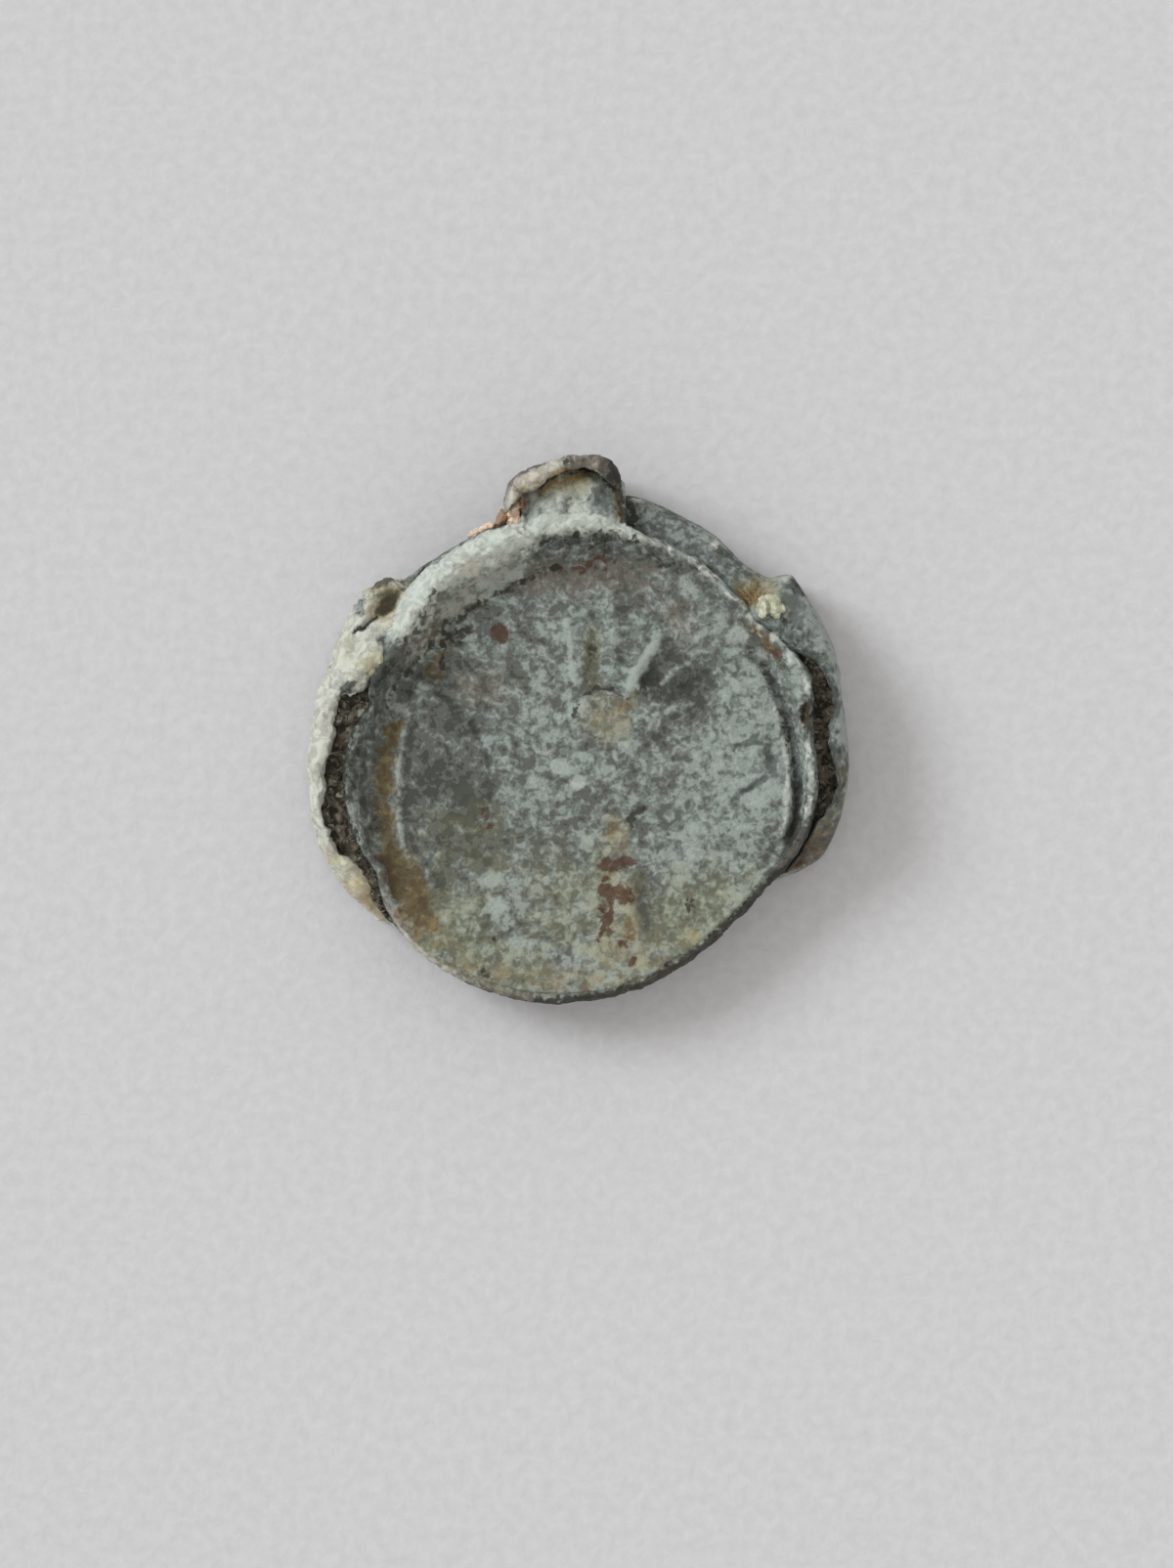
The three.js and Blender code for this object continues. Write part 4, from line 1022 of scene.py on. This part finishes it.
def makeCrumbs(name, ground=None):
    # lumps of soil fused into one rough crust
    look = crumbsLook[name]
    bm = bmesh.new()
    for middle, half, turn in look["lumps"]:
        made = bmesh.ops.create_icosphere(bm, subdivisions=3, radius=1)["verts"]
        c, s = math.cos(math.radians(turn)), math.sin(math.radians(turn))
        base = ground(middle[0], middle[1]) if ground else 0
        for vertex in made:
            a, b, h = vertex.co.x * half[0], vertex.co.y * half[1], vertex.co.z * half[2]
            vertex.co = (middle[0] + c * a - s * b, middle[1] + s * a + c * b, base + middle[2] + h)
    mesh = bpy.data.meshes.new(name)
    bm.to_mesh(mesh)
    bm.free()
    piece = bpy.data.objects.new(name, mesh)
    scene.collection.objects.link(piece)
    bpy.context.view_layer.objects.active = piece
    fused = piece.modifiers.new("fused", "REMESH")
    fused.mode = "VOXEL"
    fused.voxel_size = crumbsLook["voxel"]
    fused.use_smooth_shade = True
    bpy.ops.object.modifier_apply(modifier=fused.name)
    points, normals = shapeOf(piece)
    setPoints(piece, points + normals * weather(points, look["noise"])[1][:, None])
    red = np.zeros(len(points))
    for oval in look["red"]:
        red = np.maximum(red, spot(points[:, 0], points[:, 1], *oval))
    paint(piece, {"red": red})
    return piece


fibreLook = {
    "count": 80, "thick": 0.013, "steps": 9, "sides": 5, "curl": 0.9, "lift": 0.06,
    "root": (6.6, 7.9), "spread": (0.4, 0.24), "length": (0.25, 0.8), "fan": (-10, 190),
}


def makeFibres(ground):
    # strands that lie on the lead where the cloth comes out
    look, points, faces = fibreLook, [], []
    sides, steps = look["sides"], look["steps"]
    around = np.radians(np.arange(sides) * 360 / sides)
    for _ in range(look["count"]):
        root = np.array(look["root"]) + rng.normal(0, 0.6, 2) * look["spread"]
        heading = math.radians(rng.uniform(*look["fan"]))
        length, curl = rng.uniform(*look["length"]), rng.normal(0, look["curl"])
        lift = rng.uniform(0.0, look["lift"])
        first = len(points) * sides
        for k in range(steps):
            t = k / (steps - 1)
            bend = heading + curl * t
            x, y = root + length * t * np.array([math.cos(bend), math.sin(bend)])
            middle = np.array([x, y, ground(x, y) + lift * math.sin(math.pi * t)])
            thick = look["thick"] * (1 - 0.6 * t)
            side = np.array([-math.sin(bend), math.cos(bend), 0])
            points.append([middle + thick * (math.cos(a) * side + (0, 0, math.sin(a))) for a in around])
            if k:
                faces += stitch(first + (k - 1) * sides, sides, first + k * sides, sides)
        last = first + (steps - 1) * sides
        faces += [tuple(range(first, first + sides)), tuple(range(last, last + sides))]
    return finishMesh("cloth_fibres", np.array(points).reshape(-1, 3), faces)

# Colours and shader nodes

def colour(red, green, blue):
    # display colour, 0 to 255, as Blender's linear colour
    parts = []
    for c in (red / 255, green / 255, blue / 255):
        parts.append(c / 12.92 if c <= 0.04045 else ((c + 0.055) / 1.055) ** 2.4)
    return (*parts, 1)


def feed(tree, target, value):
    # a socket takes a link from another socket, or a plain value
    if isinstance(value, (int, float, tuple)):
        target.default_value = value
    else:
        tree.links.new(value, target)


def node(tree, kind, given=None, **settings):
    # a new node with its settings, and what its inputs are given
    made = tree.nodes.new(kind)
    for key, value in settings.items():
        setattr(made, key, value)
    for key, value in (given or {}).items():
        feed(tree, made.inputs[key], value)
    return made


def mathNode(tree, operation, *values, clamp=False):
    given = dict(enumerate(values))
    return node(tree, "ShaderNodeMath", given, operation=operation, use_clamp=clamp).outputs[0]


def noiseNode(tree, vector, scale, detail, distortion, rough=0.55):
    given = {"Vector": vector, "Scale": scale, "Detail": detail}
    given |= {"Roughness": rough, "Distortion": distortion}
    return node(tree, "ShaderNodeTexNoise", given).outputs["Fac"]


def stepNode(tree, value, low, high):
    # smooth step of a value between low and high
    given = {"From Min": low, "From Max": high, "Value": value}
    return node(tree, "ShaderNodeMapRange", given, interpolation_type="SMOOTHSTEP").outputs["Result"]


def scaleNode(tree, vector, scale):
    return node(tree, "ShaderNodeVectorMath", {0: vector, "Scale": scale}, operation="SCALE").outputs[0]


def mixNode(tree, factor, first, second, blend="MIX"):
    made = node(tree, "ShaderNodeMix", {"Factor": factor}, data_type="RGBA", blend_type=blend)
    for name, value in (("A", first), ("B", second)):
        feed(tree, next(s for s in made.inputs if s.name == name and s.type == "RGBA"), value)
    return next(s for s in made.outputs if s.type == "RGBA")


def groupNode(tree, group, **given):
    return node(tree, "ShaderNodeGroup", given, node_tree=group)


def newGroup(name, inputs, outputs):
    # sockets are given as name: kind
    group = bpy.data.node_groups.new(name, "ShaderNodeTree")
    for way, sockets in (("INPUT", inputs), ("OUTPUT", outputs)):
        for key, kind in sockets.items():
            group.interface.new_socket(name=key, in_out=way, socket_type="NodeSocket" + kind)
    return group, node(group, "NodeGroupInput").outputs, node(group, "NodeGroupOutput").inputs


mottleLook = {
    "layers": [   # scale, detail, distortion and share of each size of blotch
        (0.45, 2, 0.4, 1.6), (1.3, 1, 0.6, 1.8), (3.1, 1, 0.5, 2.9), (6.5, 1, 0.5, 1.2)],
    "steps": [(-0.95, -0.8), (-0.36, -0.1), (0.1, 0.36), (0.62, 0.9)],   # from each tone to the next
    "shade": (0.58, 0.58, 0.56, 1), "shine": (1.2, 1.2, 1.2, 1),   # of the darkest and lightest tones
    "speck": {"From Min": 0.3, "From Max": 0.7, "To Min": 0.92, "To Max": 1.08},   # finest grain
}


def buildMottle():
    # rounded blotches of five tones, with a height for the bump; coordinates are in millimetres
    look = mottleLook
    inputs = {"Vector": "Vector", "Dark": "Color", "Middle": "Color", "Light": "Color", "Shift": "Float"}
    group, given, out = newGroup("lead mottle", inputs, {"Color": "Color", "Height": "Float"})
    vector = given["Vector"]
    blend = mathNode(group, "MULTIPLY_ADD", given["Shift"], 4.0, -3.75)
    for scale, detail, bent, share in look["layers"]:
        layer = noiseNode(group, vector, scale, detail, bent, 0.5)
        blend = mathNode(group, "MULTIPLY_ADD", layer, share, blend)
    tone = mixNode(group, 1.0, given["Dark"], look["shade"], "MULTIPLY")
    bright = mixNode(group, 1.0, given["Light"], look["shine"], "MULTIPLY")
    lighter = given["Dark"], given["Middle"], given["Light"], bright
    for (low, high), above in zip(look["steps"], lighter):
        tone = mixNode(group, stepNode(group, blend, low, high), tone, above)
    fine = {"Value": noiseNode(group, vector, 9.0, 2, 0.4), **look["speck"]}
    speck = node(group, "ShaderNodeMapRange", fine).outputs["Result"]
    feed(group, out["Color"], scaleNode(group, tone, speck))
    feed(group, out["Height"], mathNode(group, "MULTIPLY_ADD", blend, 0.4, 0.5, clamp=True))
    return group


raggedInputs = {"Vector": "Vector", "Mask": "Float", "Scale": "Float", "Ragged": "Float", "Soft": "Float"}


def buildRagged():
    # breaks the edge of a painted mask up with noise; coordinates are in millimetres
    group, given, out = newGroup("ragged mask", raggedInputs, {"Mask": "Float"})
    mask, soft = given["Mask"], given["Soft"]
    torn = noiseNode(group, given["Vector"], given["Scale"], 2, 0.7, 0.6)
    raised = mathNode(group, "MULTIPLY_ADD", mathNode(group, "SUBTRACT", torn, 0.5), given["Ragged"], mask)
    low, high = (mathNode(group, operation, 0.5, soft) for operation in ("SUBTRACT", "ADD"))
    present = stepNode(group, mask, 0.02, 0.15)
    feed(group, out["Mask"], mathNode(group, "MULTIPLY", stepNode(group, raised, low, high), present))
    return group


def buildStain(ragged):
    # lays a stain over a colour: partly a tint of what lies below, partly its own body
    inputs = {"Color": "Color", **raggedInputs, "Tint": "Color", "Body": "Color", "Cover": "Float"}
    group, given, out = newGroup("stain", inputs, {"Color": "Color"})
    mask = groupNode(group, ragged, **{key: given[key] for key in raggedInputs}).outputs[0]
    tinted = mixNode(group, 1.0, given["Color"], given["Tint"], "MULTIPLY")
    stained = mixNode(group, given["Cover"], tinted, given["Body"])
    feed(group, out["Color"], mixNode(group, mask, given["Color"], stained))
    return group


raggedGroup = buildRagged()
mottleGroup = buildMottle()
stainGroup = buildStain(raggedGroup)

weathering = {   # what lies on the lead, with painted shade carried by soil and slate: scale, raggedness and softness of its edge, tint, body, cover
    "slate_and_shade": (2.0, 2.4, 0.34, (0.52, 0.54, 0.53, 1), colour(72, 75, 70), 0.35),
    "chalk": (2.2, 2.0, 0.34, (1, 1, 1, 1), None, 0.88),   # its body is the crust of the material
    "blush": (0.9, 2.0, 0.5, (1.06, 0.95, 0.9, 1), colour(138, 128, 120), 0.22),
    "lichen": (1.1, 2.0, 0.5, (1.03, 1.0, 0.84, 1), colour(140, 139, 112), 0.2),
    "tan": (1.6, 2.0, 0.5, (1.08, 0.99, 0.82, 1), colour(142, 131, 104), 0.35),
    "ochre": (1.8, 2.2, 0.4, (0.84, 0.65, 0.4, 1), colour(98, 80, 54), 0.42),
    "rust": (2.8, 2.4, 0.26, (0.56, 0.42, 0.34, 1), colour(76, 55, 44), 0.66),
    "soil_and_shade": (2.8, 2.6, 0.26, (0.33, 0.32, 0.29, 1), colour(56, 54, 48), 0.62),
}


def painted(tree, key):
    # a mask painted on the piece
    return node(tree, "ShaderNodeAttribute", attribute_name=key).outputs["Fac"]


def buildWeathered():
    # patina, crusts and stains of old lead, with painted shade among them, from the masks painted on the
    # piece
    inputs = {"Vector": "Vector", **dict.fromkeys(("Dark", "Middle", "Light", "Chalk", "Shade"), "Color")}
    outputs = {"Color": "Color", "Roughness": "Float", "Height": "Float"}
    group, given, out = newGroup("weathered lead", inputs, outputs)
    vector = given["Vector"]
    mottle = groupNode(
        group, mottleGroup, Vector=vector, Dark=given["Dark"], Middle=given["Middle"],
        Light=given["Light"], Shift=mathNode(group, "SUBTRACT", painted(group, "tone"), 0.5))
    tone, height = mottle.outputs["Color"], mottle.outputs["Height"]
    worms = noiseNode(group, vector, 1.7, 2, 1.6, 0.5)
    holes = mixNode(group, 1.0, given["Shade"], (0.6, 0.6, 0.6, 1), "MULTIPLY")
    crust = mixNode(group, stepNode(group, height, 0.04, 0.24), holes, given["Shade"])
    crust = mixNode(group, stepNode(group, worms, 0.38, 0.6), crust, given["Chalk"])
    for key, (size, ragged, soft, tint, body, cover) in weathering.items():
        tone = groupNode(
            group, stainGroup, Color=tone, Vector=vector, Mask=painted(group, key), Scale=size,
            Ragged=ragged, Soft=soft, Tint=tint, Body=body or crust, Cover=cover).outputs[0]
    feed(group, out["Color"], tone)
    feed(group, out["Roughness"], mathNode(group, "MULTIPLY_ADD", height, -0.12, 0.92, clamp=True))
    grit = noiseNode(group, vector, 4.0, 3, 0.5)
    feed(group, out["Height"], mathNode(group, "MULTIPLY_ADD", height, 0.6, grit))
    return group


weatheredGroup = buildWeathered()

finish = {   # lead: dark, middle and light patina, crust and its shade; the others: light, dark, patches
    "front lead": ((91, 94, 88), (113, 120, 114), (140, 148, 142), (201, 207, 197), (175, 181, 172)),
    "rear lead": ((86, 90, 85), (105, 112, 107), (134, 141, 136), (207, 208, 195), (178, 178, 168)),
    "strip lead": ((92, 88, 81), (124, 119, 109), (152, 149, 140), (194, 192, 180), (163, 160, 150)),
    "mineralised cloth": ((172, 124, 62), (92, 64, 44), (168, 128, 104)),
    "orange fibres": ((164, 146, 106), (128, 110, 74), (150, 132, 96)),
    "packed earth": ((108, 102, 89), (60, 56, 48), (150, 146, 134)),
    "pink earth": ((232, 210, 186), (202, 178, 154), (154, 126, 104)),
    "cream nodule": ((206, 208, 184), (162, 164, 140), (140, 140, 120)),
}


def tonesOf(name):
    return [colour(*tone) for tone in finish[name]]


def newMaterial(name, roughness=0.9, specular=0.35):
    # a material, its tree and shader, and the place on the surface in millimetres
    material = bpy.data.materials.new(name)
    material.use_nodes = True
    tree = material.node_tree
    shader = tree.nodes["Principled BSDF"]
    shader.inputs["Roughness"].default_value = roughness
    shader.inputs["Specular IOR Level"].default_value = specular
    metres = node(tree, "ShaderNodeTexCoord").outputs["Object"]
    return material, tree, shader, scaleNode(tree, metres, 1 / mm)


def bumpInto(tree, shader, height, distance, strength=0.8):
    given = {"Strength": strength, "Distance": distance * mm, "Height": height}
    feed(tree, shader.inputs["Normal"], node(tree, "ShaderNodeBump", given).outputs["Normal"])


def leadMaterial(name):
    material, tree, shader, vector = newMaterial(name)
    dark, middle, light, chalk, shade = tonesOf(name)
    lead = groupNode(
        tree, weatheredGroup, Vector=vector, Dark=dark, Middle=middle, Light=light,
        Chalk=chalk, Shade=shade)
    feed(tree, shader.inputs["Base Color"], lead.outputs["Color"])
    feed(tree, shader.inputs["Roughness"], lead.outputs["Roughness"])
    bumpInto(tree, shader, lead.outputs["Height"], 0.08)
    return material


def earthMaterial(name):
    # soil, with sparse pale crumbs
    material, tree, shader, vector = newMaterial(name, 1.0, 0.2)
    light, dark, fleck = tonesOf(name)
    clods = noiseNode(tree, vector, 2.4, 2, 1.0)
    crumbs = noiseNode(tree, vector, 2.9, 1, 0.6)
    tone = mixNode(tree, stepNode(tree, clods, 0.42, 0.54), dark, light)
    tone = mixNode(tree, stepNode(tree, crumbs, 0.64, 0.69), tone, fleck)
    feed(tree, shader.inputs["Base Color"], tone)
    bumpInto(tree, shader, mathNode(tree, "ADD", clods, crumbs), 0.15)
    return material


def crumbMaterial(name):
    material, tree, shader, vector = newMaterial(name, 0.95, 0.25)
    light, dark, red = tonesOf(name)
    clods = noiseNode(tree, vector, 2.4, 4, 0.8)
    reddened = groupNode(
        tree, raggedGroup, Vector=vector, Mask=painted(tree, "red"), Scale=2.5, Ragged=2.0,
        Soft=0.15).outputs[0]
    tone = mixNode(tree, stepNode(tree, clods, 0.42, 0.6), dark, light)
    feed(tree, shader.inputs["Base Color"], mixNode(tree, reddened, tone, red))
    bumpInto(tree, shader, clods, 0.12)
    return material


def clothMaterial(name):
    material, tree, shader, vector = newMaterial(name, 0.95, 0.2)
    light, dark, patch = tonesOf(name)
    weave = {"Vector": vector, "Scale": 2.2, "Distortion": 3.0, "Detail": 2.0}
    threads = node(tree, "ShaderNodeTexWave", weave, wave_type="BANDS", bands_direction="DIAGONAL")
    patches = noiseNode(tree, vector, 1.6, 4, 0.8)
    mixed = mathNode(tree, "MULTIPLY_ADD", threads.outputs["Fac"], 0.4, patches)
    tone = mixNode(tree, stepNode(tree, mixed, 0.45, 0.85), dark, light)
    tone = mixNode(tree, stepNode(tree, patches, 0.55, 0.7), tone, patch)
    feed(tree, shader.inputs["Base Color"], tone)
    bumpInto(tree, shader, mixed, 0.08)
    return material

# Stage: paper, light and camera

stage = {
    "paperSize": 0.9, "paperDrop": 0.02, "paperLight": (213, 212, 214), "paperDark": (191, 190, 191),
    "frameHeight": 64.16,   # what the photograph spans at the seal, from top to bottom
    "aim": (-0.2, 0.42, 2.0), "distance": 180.0, "tilt": 4.0,
    "sunFrom": (-0.88, 0.5, 0.74), "sunPower": 1.75, "sunAngle": 26, "room": 0.71,
    "sunTint": (0.96, 1.0, 1.05), "roomTint": (1.02, 1.0, 0.97, 1),
}


def makePaper():
    bpy.ops.mesh.primitive_plane_add(size=stage["paperSize"], location=(0, 0, -stage["paperDrop"] * mm))
    paper = bpy.context.object
    paper.name = "paper"
    material, tree, shader, vector = newMaterial("paper", 0.9, 0.2)
    grain = noiseNode(tree, vector, 2.0, 5, 0.3)
    tone = mixNode(tree, grain, colour(*stage["paperDark"]), colour(*stage["paperLight"]))
    feed(tree, shader.inputs["Base Color"], tone)
    bumpInto(tree, shader, grain, 0.06, 0.5)
    paper.data.materials.append(material)


def makeLight():
    lamp = bpy.data.lights.new("window", "SUN")
    lamp.energy = stage["sunPower"]
    lamp.color = stage["sunTint"]
    lamp.angle = math.radians(stage["sunAngle"])
    holder = bpy.data.objects.new("window", lamp)
    holder.rotation_euler = (-Vector(stage["sunFrom"])).to_track_quat("-Z", "Y").to_euler()
    scene.collection.objects.link(holder)
    world = bpy.data.worlds.new("room")
    world.use_nodes = True
    world.node_tree.nodes["Background"].inputs["Color"].default_value = stage["roomTint"]
    world.node_tree.nodes["Background"].inputs["Strength"].default_value = stage["room"]
    scene.world = world


def makeCamera():
    data = bpy.data.cameras.new("camera")
    data.sensor_width = 36
    data.lens = data.sensor_width * stage["distance"] / stage["frameHeight"]
    data.clip_start, data.clip_end = 0.01, 5
    camera = bpy.data.objects.new("camera", data)
    tilt = math.radians(stage["tilt"])
    back = Vector((0, -math.sin(tilt), math.cos(tilt)))
    camera.location = (Vector(stage["aim"]) + back * stage["distance"]) * mm
    camera.rotation_mode = "QUATERNION"
    camera.rotation_quaternion = (-back).to_track_quat("-Z", "Y")
    scene.collection.objects.link(camera)
    scene.camera = camera


scene.view_settings.view_transform = "Standard"
makeCamera()
makePaper()
makeLight()
print("stage ready")

# The seal

rearDisc, frontDisc = makeRearDisc(), makeFrontDisc()
leadBelow = groundUnder([rearDisc, frontDisc])
nodule = makeCrumbs("cream_nodule", leadBelow)
fibres = makeFibres(leadBelow)
frontLead = leadMaterial("front lead")
place(rearDisc, "rear_disc", leadMaterial("rear lead"))
place(frontDisc, "front_disc", frontLead)
place(makeStrip(), "connecting_strip", leadMaterial("strip lead"))
place(makeRivet(), "rivet", frontLead)
place(makeCloth(), "cloth_remains", clothMaterial("mineralised cloth"))
place(makeEarth(), None, earthMaterial("packed earth"))
place(makeCrumbs("pink_earth"), None, crumbMaterial("pink earth"))
place(nodule, None, crumbMaterial("cream nodule"))
place(fibres, None, clothMaterial("orange fibres"))
